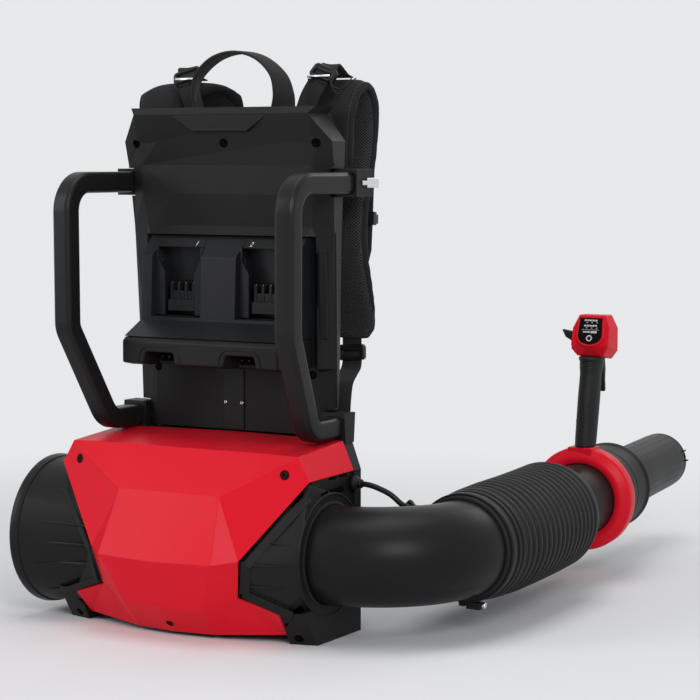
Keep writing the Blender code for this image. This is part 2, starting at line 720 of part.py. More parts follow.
def make_battery_shelf(finish):
    side_view = [(56.6, 295.8), (-5, 295.8), (-10, 292), (-10, 269), (6, 266), (56.6, 266)]
    shelf = solid("battery_shelf", prism(side_view, -95, 95), finish)
    for side in (1, -1):
        centre = (BAY_CENTRE_X - 3) * side
        cut(shelf, hull([(centre - 21, -14, 264), (centre + 21, -14, 264), (centre - 17, -14, 281),
                         (centre + 17, -14, 281), (centre - 21, 22, 264), (centre + 21, 22, 264),
                         (centre - 17, 22, 281), (centre + 17, 22, 281)]))
    return shelf


# ---------------------------------------------------------------- guard bars

def bar_shape(side, size, end_y):
    """A guard bar: out from the housing's flank, forward, down past the dock and back to the body."""
    points = [(133, 66, 455), (134, -52, 455), (133.3, -52, 306), (123, 1, 207.2), (123, end_y, 207.2)]
    path = rounded_path([(x * side, y, z) for x, y, z in points], (30, 26, 24), 4)
    return sweep(path, rounded_rectangle(size, size, BAR_CORNER), (side, 0, 0))


def make_guard_bar(name, side, finish):
    return solid(name, bar_shape(side, BAR_SIZE, 57), finish, soft_angle=40)


def make_bar_clamp(name, side, finish):
    """The socket on the back plate that holds the bar's upper end."""
    near, far = sorted((120.5 * side, 147.3 * side))
    clamp = solid(name, box((near, 57, 441), (far, 90, 469)), finish)
    near, far = sorted(((PLATE_HALF_WIDTH + GAP) * side, 124 * side))
    join(clamp, box((near, BODY_REAR_Y + GAP, 444), (far, 89, 466)))
    points = [(x * side, y, 455) for x, y in ((133, 66.4), (134, -52))]
    hole = BAR_SIZE + 2 * GAP
    cut(clamp, sweep(points, rounded_rectangle(hole, hole, BAR_CORNER), (side, 0, 0)))
    return clamp


def make_bar_hook(name, side, finish):
    """A bent steel tab on the clamp's outer face, for hanging up the hose or a cord."""
    near, far = sorted(((147.3 + GAP) * side, 150.6 * side))
    hook = solid(name, box((near, 60, 450), (far, 97, 460)), finish)
    near, far = sorted((138 * side, 150.6 * side))
    join(hook, box((near, 94, 450), (far, 97, 460)))
    return hook


# ---------------------------------------------------------------- hose and handle

def make_elbow(finish):
    stations = [0, ELBOW_LEAD] + [ELBOW_LEAD + ELBOW_BEND * math.pi / 2 * step / 10 for step in range(1, 11)]
    stations.append(ELBOW_END)
    elbow = solid("elbow_tube", hose_shell([(station, ELBOW_RADIUS) for station in stations],
                                           [(station, ELBOW_RADIUS - ELBOW_WALL) for station in stations]),
                  finish, (OUTLET_X, 0, FAN_HEIGHT), soft_angle=40)
    join(elbow, cable_lug(ELBOW_CLIP, ELBOW_CLIP_WAY, ELBOW_CLIP - Vector((247, 64, FAN_HEIGHT)), 12))
    return elbow


def make_bellows(finish):
    """Ribbed rubber hose: plain cuffs, three broad bands, then narrow ribs."""
    origin = hose_point(ELBOW_END)[0]
    bore = 52.2
    outer = [(BELLOWS_START, 53.2), (BELLOWS_START + 20, 54), (BELLOWS_START + 24, 57)]
    first = BELLOWS_START + 26
    last = BELLOWS_END - 8
    pitch = (last - first) / RIB_COUNT
    for index in range(RIB_COUNT):
        grown = min(1.0, 0.6 + index / 8)
        crest = 56.5 + (BELLOWS_RADIUS - 56.5) * grown
        outer.append((first + pitch * (index + 0.25), crest))
        outer.append((first + pitch * (index + 0.85), crest - 4.5))
    outer += [(last + 1, 57), (BELLOWS_END, 56.5)]
    inner = [(BELLOWS_START, ELBOW_RADIUS + GAP), (ELBOW_END + GAP, ELBOW_RADIUS + GAP)]
    inner += [(ELBOW_END + 3, bore)]
    for step in range(1, 6):
        inner.append((ELBOW_END + 3 + (TUBE_START - ELBOW_END - 6) * step / 5, bore))
    inner += [(TUBE_START - GAP, FRONT_TUBE_RADIUS + GAP), (BELLOWS_END, FRONT_TUBE_RADIUS + GAP)]
    return solid("bellows", hose_shell(outer, inner), finish, origin, soft_angle=30)


def make_hose_clamp(band_finish, screw_finish):
    """Band clamp that holds the bellows on the elbow, with its screw in a boss underneath."""
    start = BELLOWS_START + 4
    band = hose_shell([(start, 56), (start + 9, 56)], [(start, 53.7 + GAP), (start + 9, 53.7 + GAP)])
    clamp = solid("hose_clamp", band, band_finish, hose_point(start)[0])
    y = hose_point(start)[0].y
    join(clamp, box((250, y, 25), (266, y + 9, 32.6)))
    screw = turned([(0, 0), (0, 3.4), (4, 3.4), (4, 0)], (266 + GAP, y + 4.5, 29.5), (1, 0, 0), 12)
    solid("clamp_screw", screw, screw_finish)


def make_front_tube(finish):
    neck = FLANGE_STATION - 12
    outer = [(TUBE_START, FRONT_TUBE_RADIUS), (SOCKET_START, FRONT_TUBE_RADIUS),
             (SOCKET_START + 1, SOCKET_RADIUS), (FLANGE_STATION - 9, SOCKET_RADIUS),
             (FLANGE_STATION - 5, SOCKET_RADIUS + 2), (FLANGE_STATION, SOCKET_RADIUS + 2)]
    bore = FRONT_TUBE_RADIUS - TUBE_WALL
    nozzle_seat = NOZZLE_RADIUS + 0.8
    inner = [(TUBE_START, bore), (neck - 36, bore), (neck - 30, nozzle_seat), (neck, nozzle_seat),
             (neck, bore), (SOCKET_START + 5, FRONT_TUBE_RADIUS),
             (SOCKET_START + 5, SOCKET_RADIUS - TUBE_WALL),
             (FLANGE_STATION - 9, SOCKET_RADIUS - TUBE_WALL), (FLANGE_STATION, SOCKET_RADIUS - 0.5)]
    tube = solid("front_tube", hose_shell(outer, inner), finish, PIVOT_HOSE, soft_angle=40)
    rail = box((-3, 0, 0), (3, 2.3, SOCKET_START - BELLOWS_END - 5))
    bmesh.ops.transform(rail, matrix=rail_place(BELLOWS_END + 4), verts=rail.verts)
    join(tube, rail)
    join(tube, cable_lug(TUBE_CLIP, TUBE_WAY, TUBE_CLIP - hose_point(TUBE_CLIP_STATION)[0], 19))
    return tube


def rail_place(station):
    """Where the rail that the handle slides on runs: on the front tube's lower side, from a station."""
    turn = TUBE_WAY.to_track_quat("Z", "Y").to_matrix().to_4x4()
    roll = Matrix.Rotation(math.radians(RAIL_TURN), 4, "Z")
    return Matrix.Translation(hose_point(station)[0]) @ turn @ roll @ Matrix.Translation(
        (0, FRONT_TUBE_RADIUS - 0.6, 0))


def cable_lug(spot, way, outward, reach):
    """A moulded lug that holds the cable off a tube. Reach is how far it runs in from the cable."""
    way = way.normalized()
    inward = (-outward + way * outward.dot(way)).normalized()
    across = way.cross(inward)
    points = []
    for along in (-LUG_HALF, LUG_HALF):
        for out, wide in ((-5.5, 3.5), (-3, 5.5), (reach, 5.5)):
            for half in (-1, 1):
                points.append(spot + way * along + inward * out + across * (wide * half))
    return hull(points)


def make_handle_ring(finish):
    """The red collar that the handle stands on. It slides along the front tube's rail."""
    bore = FRONT_TUBE_RADIUS + 0.5
    outer = [(RING_STATION - 14, bore + 9), (RING_STATION - 9, RING_RADIUS), (RING_STATION + 9, RING_RADIUS),
             (RING_STATION + 14, bore + 11)]
    inner = [(RING_STATION - 14, bore), (RING_STATION + 14, bore)]
    centre = hose_point(RING_STATION)[0]
    ring = solid("handle_ring", hose_shell(outer, inner), finish, centre, soft_angle=40)
    low = (centre.x - 15, centre.y - 13, 141)
    join(ring, box(low, (centre.x + 15, centre.y + 13, GRIP_FOOT - GAP)))
    slot = box((-3.6, 0, -20), (3.6, 3.4, 20))
    bmesh.ops.transform(slot, matrix=rail_place(RING_STATION), verts=slot.verts)
    cut(ring, slot)
    return ring


def make_grip(finish):
    """Rubber grip, oval, leaning forward, with a pocket for the trigger."""
    x = handle_axis_x()
    foot_y = hose_point(RING_STATION)[0].y + 1
    shape = bmesh.new()
    rings = []
    for share, wide, deep in ((0, 11.5, 15), (0.15, 11.8, 15.5), (0.5, 11.8, 17), (0.8, 11.6, 16.5),
                              (0.93, 13, 18), (1, 14.5, 20)):
        y = foot_y + GRIP_LEAN_Y * share
        z = GRIP_FOOT + (GRIP_TOP - GRIP_FOOT) * share
        rings.append([shape.verts.new((x + u * wide, y + v * deep, z)) for u, v in circle(1.0, 16)])
    skin(shape, rings)
    grip = solid("grip", shape, finish, soft_angle=40)
    pocket = [(461, 256), (461, 206), (500, 200), (500, 258)]
    cut(grip, prism(pocket, x - 7.5, x + 7.5))
    return grip


def handle_axis_x():
    return hose_point(RING_STATION)[0].x + 1.5


def make_handle_head(finish):
    x = handle_axis_x()
    points = []
    for side in (1, -1):
        for half, y, z in ((12.5, 458, 301), (23, 454.2, 286), (23.3, 449.5, 266), (15, 454, 253.8),
                           (12.5, 476, 301), (22, 481, 286), (22, 481, 264), (14, 482, 253.8)):
            points.append((x + half * side, y, z))
    head = solid("handle_head", hull(points), finish)
    cut(head, turned(BUTTON_BORE, panel_place(0, BUTTON_DROP, 0), PANEL_OUT, 16))
    return head


PANEL_TOP = Vector((0, 458, 301))
PANEL_FOOT = Vector((0, 449.5, 266))
BUTTON_DROP = -9.5
BUTTON_BORE = [(-4, 0), (-4, 5.2), (6, 5.2), (6, 0)]
PANEL_DOWN = (PANEL_FOOT - PANEL_TOP).normalized()
PANEL_OUT = PANEL_DOWN.cross(Vector((1, 0, 0)))


def panel_place(across, up, out):
    """A point on the head's sloping face: across, up from its middle, and out of it."""
    middle = (PANEL_TOP + PANEL_FOOT) / 2 + Vector((handle_axis_x(), 0, 0))
    return middle + Vector((across, 0, 0)) - PANEL_DOWN * up + PANEL_OUT * out


def make_display(finish):
    """The shield-shaped display plate, with a hole for the power button."""
    outline = [(-11.5, 14.5), (11.5, 14.5), (13, -8), (8, -15), (0, -17), (-8, -15), (-13, -8)]
    points = [panel_place(across, up, out) for across, up in outline for out in (0.6, 2.0)]
    panel = solid("display_panel", hull(points), finish)
    cut(panel, turned(BUTTON_BORE, panel_place(0, BUTTON_DROP, 0), PANEL_OUT, 16))
    return panel


def make_power_button(finish):
    centre = panel_place(0, BUTTON_DROP, 0)
    button = turned([(-1.6, 0), (-1.6, 4.6), (2.4, 4.6), (3.2, 3.8), (3.2, 0)], centre, PANEL_OUT, 20)
    return solid("power_button", button, finish, centre, soft_angle=40)


def make_trigger(finish):
    """Throttle trigger on the front of the grip, hinged under the head."""
    x = handle_axis_x()
    side_view = [(471, 251.4), (483, 251.4), (488, 238), (486, 226), (489, 214), (485, 211), (479.5, 214),
                 (477, 226), (475, 240)]
    return solid("trigger", prism(side_view, x - 6.5, x + 6.5), finish, (x, 477, 249))


def make_cruise_lever(finish):
    """Thumb lever on the head's left face that holds the speed."""
    x = handle_axis_x() - 23.3 - GAP
    centre = (x, 466, 275)
    hub = turned([(0, 0), (0, 8), (-3, 8), (-5, 6), (-5, 0)], centre, (1, 0, 0), 20)
    lever = solid("cruise_lever", hub, finish, centre)
    join(lever, hull([(x - 1, 458, 281), (x - 1, 466, 281), (x - 13, 455, 283.5), (x - 13, 461, 283.5),
                      (x - 1, 458, 270), (x - 1, 464, 268), (x - 9, 456, 275), (x - 9, 461, 275)]))
    return lever


def make_nozzle(finish):
    """Removable end tube. Its foot twists into the front tube's neck."""
    start = FLANGE_STATION - 34
    outer = [(start, NOZZLE_RADIUS), (NOZZLE_END - 9, NOZZLE_RADIUS - 0.8),
             (NOZZLE_END - 8.5, NOZZLE_RADIUS - 1.8), (NOZZLE_END - 7, NOZZLE_RADIUS - 1.8),
             (NOZZLE_END - 6.5, NOZZLE_RADIUS - 0.9), (NOZZLE_END, NOZZLE_RADIUS - 1)]
    inner = [(start, NOZZLE_RADIUS - 2.4), (NOZZLE_END, NOZZLE_RADIUS - 3.4)]
    centre = hose_point(FLANGE_STATION)[0]
    tube = solid("nozzle_tube", hose_shell(outer, inner), finish, centre, soft_angle=40)
    spot = hose_point(NOZZLE_END - 3.5)[0]
    across = TUBE_WAY.cross(Vector((0, 0, 1))).normalized()
    up = across.cross(TUBE_WAY)
    for turn in (40, 220):
        out = across * math.cos(math.radians(turn)) + up * math.sin(math.radians(turn))
        beside = out.cross(TUBE_WAY)
        points = []
        for radial in (NOZZLE_RADIUS - 2.4, NOZZLE_RADIUS + 2.4):
            for along in (-1.8, 1.8):
                for half in (-3, 3):
                    points.append(spot + out * radial + TUBE_WAY * along + beside * half)
        join(tube, hull(points))
    return tube


# ---------------------------------------------------------------- control cable

GLAND_FACE = Vector((OUTLET_X + 10, 46, 153))
ELBOW_CLIP = Vector((203.0, 68.0, 130.0))
ELBOW_CLIP_WAY = Vector((0.0, 0.98, -0.2))
TUBE_CLIP_STATION = BELLOWS_END + 30
TUBE_CLIP = beside_hose(TUBE_CLIP_STATION, -52.5, 24.5)
RING_ENTRY = beside_hose(RING_STATION - 14, -42.0, 20.0)
PIVOT_HOSE = hose_point(ELBOW_END + HOSE_TURN_LENGTH / 2)[0]


def cable_length(name, points, finish):
    """One stretch of the control cable, as a tube along a smooth curve through its own points."""
    curve = bpy.data.curves.new(name, "CURVE")
    curve.dimensions = "3D"
    curve.bevel_depth = CABLE_RADIUS * MM
    curve.bevel_resolution = 2
    curve.use_fill_caps = True
    route = smooth_path(points, 3)
    line = curve.splines.new("POLY")
    line.points.add(len(route) - 1)
    for spot, place in zip(line.points, route):
        spot.co = (*(place * MM), 1.0)
    curve.materials.append(finish)
    item = bpy.data.objects.new(name, curve)
    bpy.context.scene.collection.objects.link(item)
    return item


def make_cable(finish):
    """Body to elbow, elbow to front tube, and front tube to handle: a stretch across each joint."""
    start = GLAND_FACE + Vector((GAP, 0, 0))
    way = ELBOW_CLIP_WAY.normalized()
    clip_in = ELBOW_CLIP - way * (LUG_HALF + GAP)
    cable_length("body_cable", [start, start + Vector((7, 0.2, -0.5)), (177, 47.5, 150), (190, 51.5, 143.5),
                                (199.5, 55.5, 134.5), clip_in - way * 4, clip_in], finish)
    clip_out = ELBOW_CLIP + way * (LUG_HALF + GAP)
    tube_in = TUBE_CLIP - TUBE_WAY * (LUG_HALF + GAP)
    cable_length("hose_cable", [clip_out, clip_out + way * 8, (196, 100, 124), (187, 140, 118.5),
                                (181, 190, 115), (177.5, 240, 113), (176, 290, 112.5), (176, 330, 113.5),
                                tube_in - TUBE_WAY * 10, tube_in], finish)
    tube_out = TUBE_CLIP + TUBE_WAY * (LUG_HALF + GAP)
    entry = RING_ENTRY - TUBE_WAY * 0.5
    middle = beside_hose(RING_STATION - 44, -50, 23.5)
    path = [tube_out, tube_out + TUBE_WAY * 10, middle, entry - TUBE_WAY * 9, entry]
    cable_length("handle_cable", path, finish)


def make_gland(finish):
    centre = GLAND_FACE - Vector((10 - GAP, 0, 0))
    profile = [(0, 0), (0, 8), (4, 8), (5, 5.5), (10 - GAP, 4.2), (10 - GAP, 0)]
    return solid("cable_gland", turned(profile, centre, (1, 0, 0), 16), finish, soft_angle=40)


# ---------------------------------------------------------------- harness

def pad_outline(width, thickness):
    """A cushion's section: crowned faces, rounded edges and a stitched channel near each edge."""
    half = width / 2
    deep = thickness / 2
    upper = [(half, 0), (half * 0.93, deep * 0.62), (half * 0.80, deep * 0.66), (half * 0.62, deep * 0.98),
             (0, deep), (-half * 0.62, deep * 0.98), (-half * 0.80, deep * 0.66), (-half * 0.93, deep * 0.62)]
    lower = [(-half, 0), (-half * 0.9, -deep * 0.75), (-half * 0.5, -deep * 0.95), (half * 0.5, -deep * 0.95),
             (half * 0.9, -deep * 0.75)]
    return upper + lower


def make_shoulder_pad(name, side, finish):
    """Padded shoulder strap: up the back plate, over the top and down in front of the wearer."""
    route = [(85, 101, 434), (85, 101, 466), (86, 102, 500), (87, 104.5, 530), (88, 113, 548), (88, 126, 555),
             (89, 139, 548), (89, 147, 529), (90, 144, 496), (90, 135, 460), (90, 123, 424), (90, 124, 380),
             (91, 135, 341), (92, 146, 308), (92, 144, 290)]
    path = smooth_path([(x * side, y, z) for x, y, z in route], 2)
    section = pad_outline(PAD_WIDTH, PAD_THICKNESS)
    sizes = []
    for index in range(len(path)):
        share = index / (len(path) - 1)
        wide = 1.0 - 0.42 * max(0.0, (share - 0.82) / 0.18) ** 2 - 0.35 * max(0.0, (0.1 - share) / 0.1)
        thick = 1.0 - 0.45 * max(0.0, (share - 0.86) / 0.14) ** 2 - 0.5 * max(0.0, (0.1 - share) / 0.1)
        sizes.append((wide, thick))
    return solid(name, sweep(path, section, (side, 0, 0), sizes), finish, soft_angle=50)


def webbing(path, side, width=WEBBING, thickness=WEBBING_THICKNESS):
    return sweep(path, rounded_rectangle(width, thickness, thickness * 0.3, 1), side)


LOCK_CENTRE = Vector((84.5, 99.0, 566.5))
LOCK_WAY = Vector((0.36, 0.52, 0.78)).normalized()


def make_lifter_strap(name, side, finish):
    low = LOCK_CENTRE - LOCK_WAY * 10
    high = LOCK_CENTRE + LOCK_WAY * 10
    route = [(62, 88.2, 480), (64, 88.4, 512), (72, 89, 540), low - LOCK_WAY * 3, low, high,
             high + LOCK_WAY * 3, (96, 121, 581), (98, 131, 576)]
    path = smooth_path([(x * side, y, z) for x, y, z in route], 2)
    return solid(name, webbing(path, (side, 0, 0)), finish)


def buckle_sleeve(name, centre, way, size, window, finish):
    """A ladder lock or slider, with a window along the way its webbing runs."""
    way = Vector(way).normalized()
    out = way.cross(Vector((1, 0, 0))).normalized()
    across = out.cross(way)

    def block(wide, deep, length):
        return hull([Vector(centre) + across * (a * wide) + out * (b * deep) + way * (c * length)
                     for a in (-0.5, 0.5) for b in (-0.5, 0.5) for c in (-0.5, 0.5)])

    buckle = solid(name, block(*size), finish, centre)
    cut(buckle, block(*window))
    return buckle, across, out, way


def make_ladder_lock(name, side, finish):
    mirror = Vector((side, 1, 1))
    buckle_sleeve(name, LOCK_CENTRE * mirror, LOCK_WAY * mirror, (31, 8, 16), (26, 3.6, 30), finish)


def make_lower_strap(name, side, finish):
    route = [(92.2, 143.2, 283), (93.2, 142.0, 269), (95.5, 135, 260), (100, 119, 254), (105, 103, 247),
             (107.5, 95, 232), (108, 92, 212), (108, 90.5, 190)]
    path = smooth_path([(x * side, y, z) for x, y, z in route], 2)
    return solid(name, webbing(path, (side, 0, 0)), finish)


def make_lower_buckle(name, side, finish):
    """Ladder lock sewn to the end of the pad, which grips the lower webbing."""
    centre = (92.7 * side, 142.6, 276)
    buckle_sleeve(name, centre, (-0.9 * side, 1.1, 13), (31, 7, 17), (26, 3.6, 30), finish)


def make_carry_handle(finish):
    """Webbing loop on top of the housing, each foot turned half way towards the front."""
    route = [(-54.5, 533.2), (-55, 546), (-48, 566), (-27, 583), (0, 589), (27, 583), (48, 566), (55, 546),
             (54.5, 533.2)]
    path = smooth_path([(x, 67, z) for x, z in route], 2)
    sides = []
    for index in range(len(path)):
        share = abs(2 * index / (len(path) - 1) - 1)
        twist = math.radians(45) * share ** 2 * (1 if index > len(path) / 2 else -1)
        sides.append((math.sin(twist), math.cos(twist), 0))
    return solid("carry_handle", webbing(path, sides, 26, 3.0), finish)


def make_chest_rail(name, side, finish):
    """Narrow webbing sewn to the shoulder pad at both ends. The chest strap's slider runs on it."""
    route = [(108, 151.5, 482), (109, 152.5, 468), (109.5, 149.8, 440), (110, 147, 412), (110, 144.5, 384),
             (109, 139.5, 370)]
    points = [(x * side, y, z) for x, y, z in route]
    return solid(name, webbing(points, (side, 0, 0), 10, 1.6), finish)


def make_chest_slider(name, side, finish):
    centre = (109.9 * side, 147.5, 417)
    buckle, across, out, way = buckle_sleeve(name, centre, (-0.5 * side, 2.5, 28), (16, 6, 14), (11, 3, 20),
                                             finish)
    tongue = [Vector(centre) + across * a + out * b + way * c
              for a in (-5, 5) for b in (2.2, 12) for c in (-5, 5)]
    join(buckle, hull(tongue))
    return buckle


def make_back_pad(finish):
    """Foam back pad with a crown, drawn-in sides and three sewn channels across it."""
    columns, rows = 12, 20
    half_width, low, high = 86.0, 206.0, 420.0
    back = BODY_REAR_Y + GAP + PLATE_THICKNESS + GAP
    shape = bmesh.new()
    bmesh.ops.create_grid(shape, x_segments=columns, y_segments=rows, size=1.0)
    face = shape.faces[:]
    for spot in shape.verts:
        u, v = spot.co.x, spot.co.y
        edge = max(0.0, 1 - abs(u) ** 6) * max(0.0, 1 - abs(v) ** 10)
        channel = sum(math.exp(-((v - line) / 0.035) ** 2) for line in (-0.5, 0.0, 0.5))
        drawn = 1 - 0.05 * (1 - v * v) - 0.08 * abs(v) ** 8
        depth = 5 + 8.5 * edge ** 0.5 - 3.2 * min(channel, 1.0) * edge
        spot.co = (u * half_width * drawn, back + depth, (low + high) / 2 + v * (high - low) / 2)
    grown = bmesh.ops.extrude_face_region(shape, geom=face)
    for part in grown["geom"]:
        if isinstance(part, bmesh.types.BMVert):
            part.co.y = back
    bmesh.ops.dissolve_limit(shape, angle_limit=math.radians(0.1), verts=shape.verts, edges=shape.edges)
    return solid("back_pad", shape, finish, soft_angle=50)


# ---------------------------------------------------------------- assembly

def build():
    clear_scene()
    black = material("black_plastic", (0.020, 0.020, 0.022), 0.50)
    dark = material("dark_grey_plastic", (0.035, 0.036, 0.038), 0.45)
    red = material("red_plastic", (0.66, 0.012, 0.028), 0.35)
    gloss_black = material("gloss_black_plastic", (0.012, 0.012, 0.013), 0.25)
    rubber = material("black_rubber", (0.022, 0.022, 0.023), 0.70)
    cable = material("cable_jacket", (0.015, 0.015, 0.016), 0.35)
    steel = material("bright_steel", (0.72, 0.72, 0.73), 0.25, 1.0)
    iron = material("motor_iron", (0.25, 0.25, 0.27), 0.45, 1.0)
    cloth = material("black_fabric", (0.022, 0.022, 0.024), 0.92)
    web = material("black_webbing", (0.018, 0.018, 0.019), 0.85)

    make_fan_housing(black)
    make_base_plate(black)
    make_red_cover(red)
    make_intake_bell(black)
    make_intake_grille(black)
    make_fan_duct(dark)
    make_guide_vanes(dark)
    make_motor(iron, dark)
    make_bearing("front_bearing", -12.5, -5.5, steel)
    make_bearing("rear_bearing", 63, 69.7, steel)
    make_rotor(iron, steel, dark)

    make_upper_housing(black)
    make_back_plate(black)
    make_controller(dark)
    make_battery_dock(dark)
    make_terminal_block("terminal_block_1", -BAY_CENTRE_X, gloss_black)
    make_terminal_block("terminal_block_2", BAY_CENTRE_X, gloss_black)
    make_battery_shelf(black)

    for label, side in (("left", -1), ("right", 1)):
        make_guard_bar("guard_bar_" + label, side, black)
        make_bar_clamp("bar_clamp_" + label, side, black)
        make_bar_hook("bar_hook_" + label, side, steel)
        make_shoulder_pad("shoulder_pad_" + label, side, cloth)
        make_lifter_strap("lifter_strap_" + label, side, web)
        make_ladder_lock("ladder_lock_" + label, side, gloss_black)
        make_lower_strap("lower_strap_" + label, side, web)
        make_lower_buckle("lower_buckle_" + label, side, gloss_black)
        make_chest_rail("chest_rail_" + label, side, web)
        make_chest_slider("chest_slider_" + label, side, gloss_black)
    make_back_pad(cloth)
    make_carry_handle(web)

    make_elbow(gloss_black)
    make_bellows(rubber)
    make_hose_clamp(black, steel)
    make_front_tube(black)
    make_handle_ring(red)
    make_grip(rubber)
    make_handle_head(red)
    make_display(gloss_black)
    make_power_button(gloss_black)
    make_trigger(red)
    make_cruise_lever(black)
    make_nozzle(gloss_black)
    make_gland(black)
    make_cable(cable)


build()
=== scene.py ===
"""Looks of a backpack leaf blower: its finishes, soft parts and fine shapes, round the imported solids."""
import json
import math

import bmesh
import bpy
from mathutils import Matrix, Vector
from mathutils.bvhtree import BVHTree
from mathutils.kdtree import KDTree

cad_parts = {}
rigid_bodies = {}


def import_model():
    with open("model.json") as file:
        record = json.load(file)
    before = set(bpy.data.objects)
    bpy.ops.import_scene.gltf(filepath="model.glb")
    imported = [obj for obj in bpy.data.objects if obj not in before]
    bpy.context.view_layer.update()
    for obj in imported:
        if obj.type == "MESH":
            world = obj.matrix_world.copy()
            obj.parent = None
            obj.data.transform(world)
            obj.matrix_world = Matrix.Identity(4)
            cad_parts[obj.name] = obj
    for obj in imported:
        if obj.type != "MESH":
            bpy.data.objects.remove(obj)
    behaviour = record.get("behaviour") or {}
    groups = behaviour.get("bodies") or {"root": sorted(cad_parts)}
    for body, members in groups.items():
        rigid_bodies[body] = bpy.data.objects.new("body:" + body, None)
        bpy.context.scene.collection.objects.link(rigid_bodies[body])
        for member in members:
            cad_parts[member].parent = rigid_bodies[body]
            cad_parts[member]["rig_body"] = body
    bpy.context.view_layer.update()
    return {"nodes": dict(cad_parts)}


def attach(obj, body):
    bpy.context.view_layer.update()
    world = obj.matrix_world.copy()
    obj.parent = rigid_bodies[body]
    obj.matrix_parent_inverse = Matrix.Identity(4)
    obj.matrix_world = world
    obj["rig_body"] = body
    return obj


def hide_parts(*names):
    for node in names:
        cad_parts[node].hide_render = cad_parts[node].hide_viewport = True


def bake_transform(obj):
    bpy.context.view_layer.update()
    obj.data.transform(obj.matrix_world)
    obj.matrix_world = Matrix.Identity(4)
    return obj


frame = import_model()

# ---- Camera
# A long lens on a stand, level with the upper housing. It looks down a little on the machine from its front right,
# from 2.2 m away.
DOWNWARD_TILT = 4.88


def put_in_scene(name, data):
    """A new object in the scene, made from its data."""
    item = bpy.data.objects.new(name, data)
    bpy.context.scene.collection.objects.link(item)
    return item


camera_data = bpy.data.cameras.new("camera")
camera_data.lens = 114.0
camera_data.sensor_width = 36.0
camera = put_in_scene("camera", camera_data)
camera.location = (1.2560, -1.8768, 0.4773)
camera.rotation_euler = (math.radians(90 - DOWNWARD_TILT), 0, math.radians(30))
bpy.context.scene.camera = camera

# ---- Control cable
# A round black cable in a smooth jacket. It leaves a gland on the housing, is held by a lug on the elbow and
# another on the front tube, and runs into the handle's ring. Each stretch spans one joint of the hose.
MM = 0.001
GAP = 0.3
OUTLET_X = 150.0
FAN_HEIGHT = 87.0
ELBOW_LEAD = 1.7
ELBOW_BEND = 95.0
ELBOW_TAIL = 23.0
HOSE_TURN = math.radians(5.17)
HOSE_TURN_LENGTH = 200.0
HOSE_TURN_WAY = Vector((-0.968, 0.0, 0.251))
ELBOW_END = ELBOW_LEAD + ELBOW_BEND * math.pi / 2 + ELBOW_TAIL - 0.5
BELLOWS_START = ELBOW_END - 21.5
BELLOWS_END = ELBOW_END + HOSE_TURN_LENGTH + 12.5
RING_STATION = BELLOWS_END + 111.0
FLANGE_STATION = BELLOWS_END + 204.0
CABLE_RADIUS = 2.9


def hose_point(distance):
    """The hose's centre line: the point, in millimetres, and the way it runs, at a distance from its start."""
    point = Vector((OUTLET_X + GAP, 0, FAN_HEIGHT))
    bend_length = ELBOW_BEND * math.pi / 2
    if distance <= ELBOW_LEAD:
        return point + Vector((distance, 0, 0)), Vector((1, 0, 0))
    point.x += ELBOW_LEAD
    distance -= ELBOW_LEAD
    if distance <= bend_length:
        turn = distance / ELBOW_BEND
        bent = Vector((math.sin(turn), 1 - math.cos(turn), 0)) * ELBOW_BEND
        return point + bent, Vector((math.cos(turn), math.sin(turn), 0))
    forward = Vector((0, 1, 0))
    point += Vector((ELBOW_BEND, ELBOW_BEND, 0)) + forward * min(distance - bend_length, ELBOW_TAIL)
    distance -= bend_length + ELBOW_TAIL
    if distance <= 0:
        return point, forward
    radius = HOSE_TURN_LENGTH / HOSE_TURN
    turn = min(distance, HOSE_TURN_LENGTH) / radius
    way = forward * math.cos(turn) + HOSE_TURN_WAY * math.sin(turn)
    bent = forward * (radius * math.sin(turn)) + HOSE_TURN_WAY * (radius * (1 - math.cos(turn)))
    return point + bent + way * max(distance - HOSE_TURN_LENGTH, 0), way


TUBE_WAY = hose_point(FLANGE_STATION)[1]


def stand(point, way, across):
    """A place in metres for an outline: its Z along the way, its X as near the across vector as it can be."""
    way = Vector(way).normalized()
    out = way.cross(Vector(across)).normalized()
    across = out.cross(way)
    turn = Matrix((across, out, way)).transposed().to_4x4()
    return Matrix.Translation(Vector(point) * MM) @ turn @ Matrix.Scale(MM, 4)


def on_hose(station, radius=1.0):
    """The place of a ring round the hose's centre line."""
    point, way = hose_point(station)
    return stand(point, way, way.cross(Vector((0, 0, 1)))) @ Matrix.Scale(radius, 4)


def beside_hose(station, across, up):
    """A point beside the hose's centre line, in millimetres."""
    return on_hose(station) @ Vector((across, -up, 0)) / MM


def smooth_path(points, steps):
    """Read a smooth curve through a route's own points."""
    points = [Vector(point) for point in points]
    ends = [points[0] * 2 - points[1]] + points + [points[-1] * 2 - points[-2]]
    route = []
    for a, b, c, d in zip(ends, ends[1:], ends[2:], ends[3:]):
        for step in range(steps):
            t = step / steps
            bend = (2 * a - 5 * b + 4 * c - d) * t ** 2 + (3 * b - a - 3 * c + d) * t ** 3
            route.append((2 * b + (c - a) * t + bend) / 2)
    route.append(points[-1])
    return route


def way_at(path, across, index):
    """The way a path runs at one of its points, and the across vector there."""
    way = path[min(index + 1, len(path) - 1)] - path[max(index - 1, 0)]
    return way, across[index] if isinstance(across, list) else across


def path_places(path, across, sizes=None):
    """Places along a path for an outline. Across is one vector, or one for each point."""
    places = []
    for index, point in enumerate(path):
        place = stand(point, *way_at(path, across, index))
        if sizes:
            place = place @ Matrix.Diagonal((*sizes[index], 1.0)).to_4x4()
        places.append(place)
    return places


def verts_in(parts):
    return [part for part in parts if isinstance(part, bmesh.types.BMVert)]


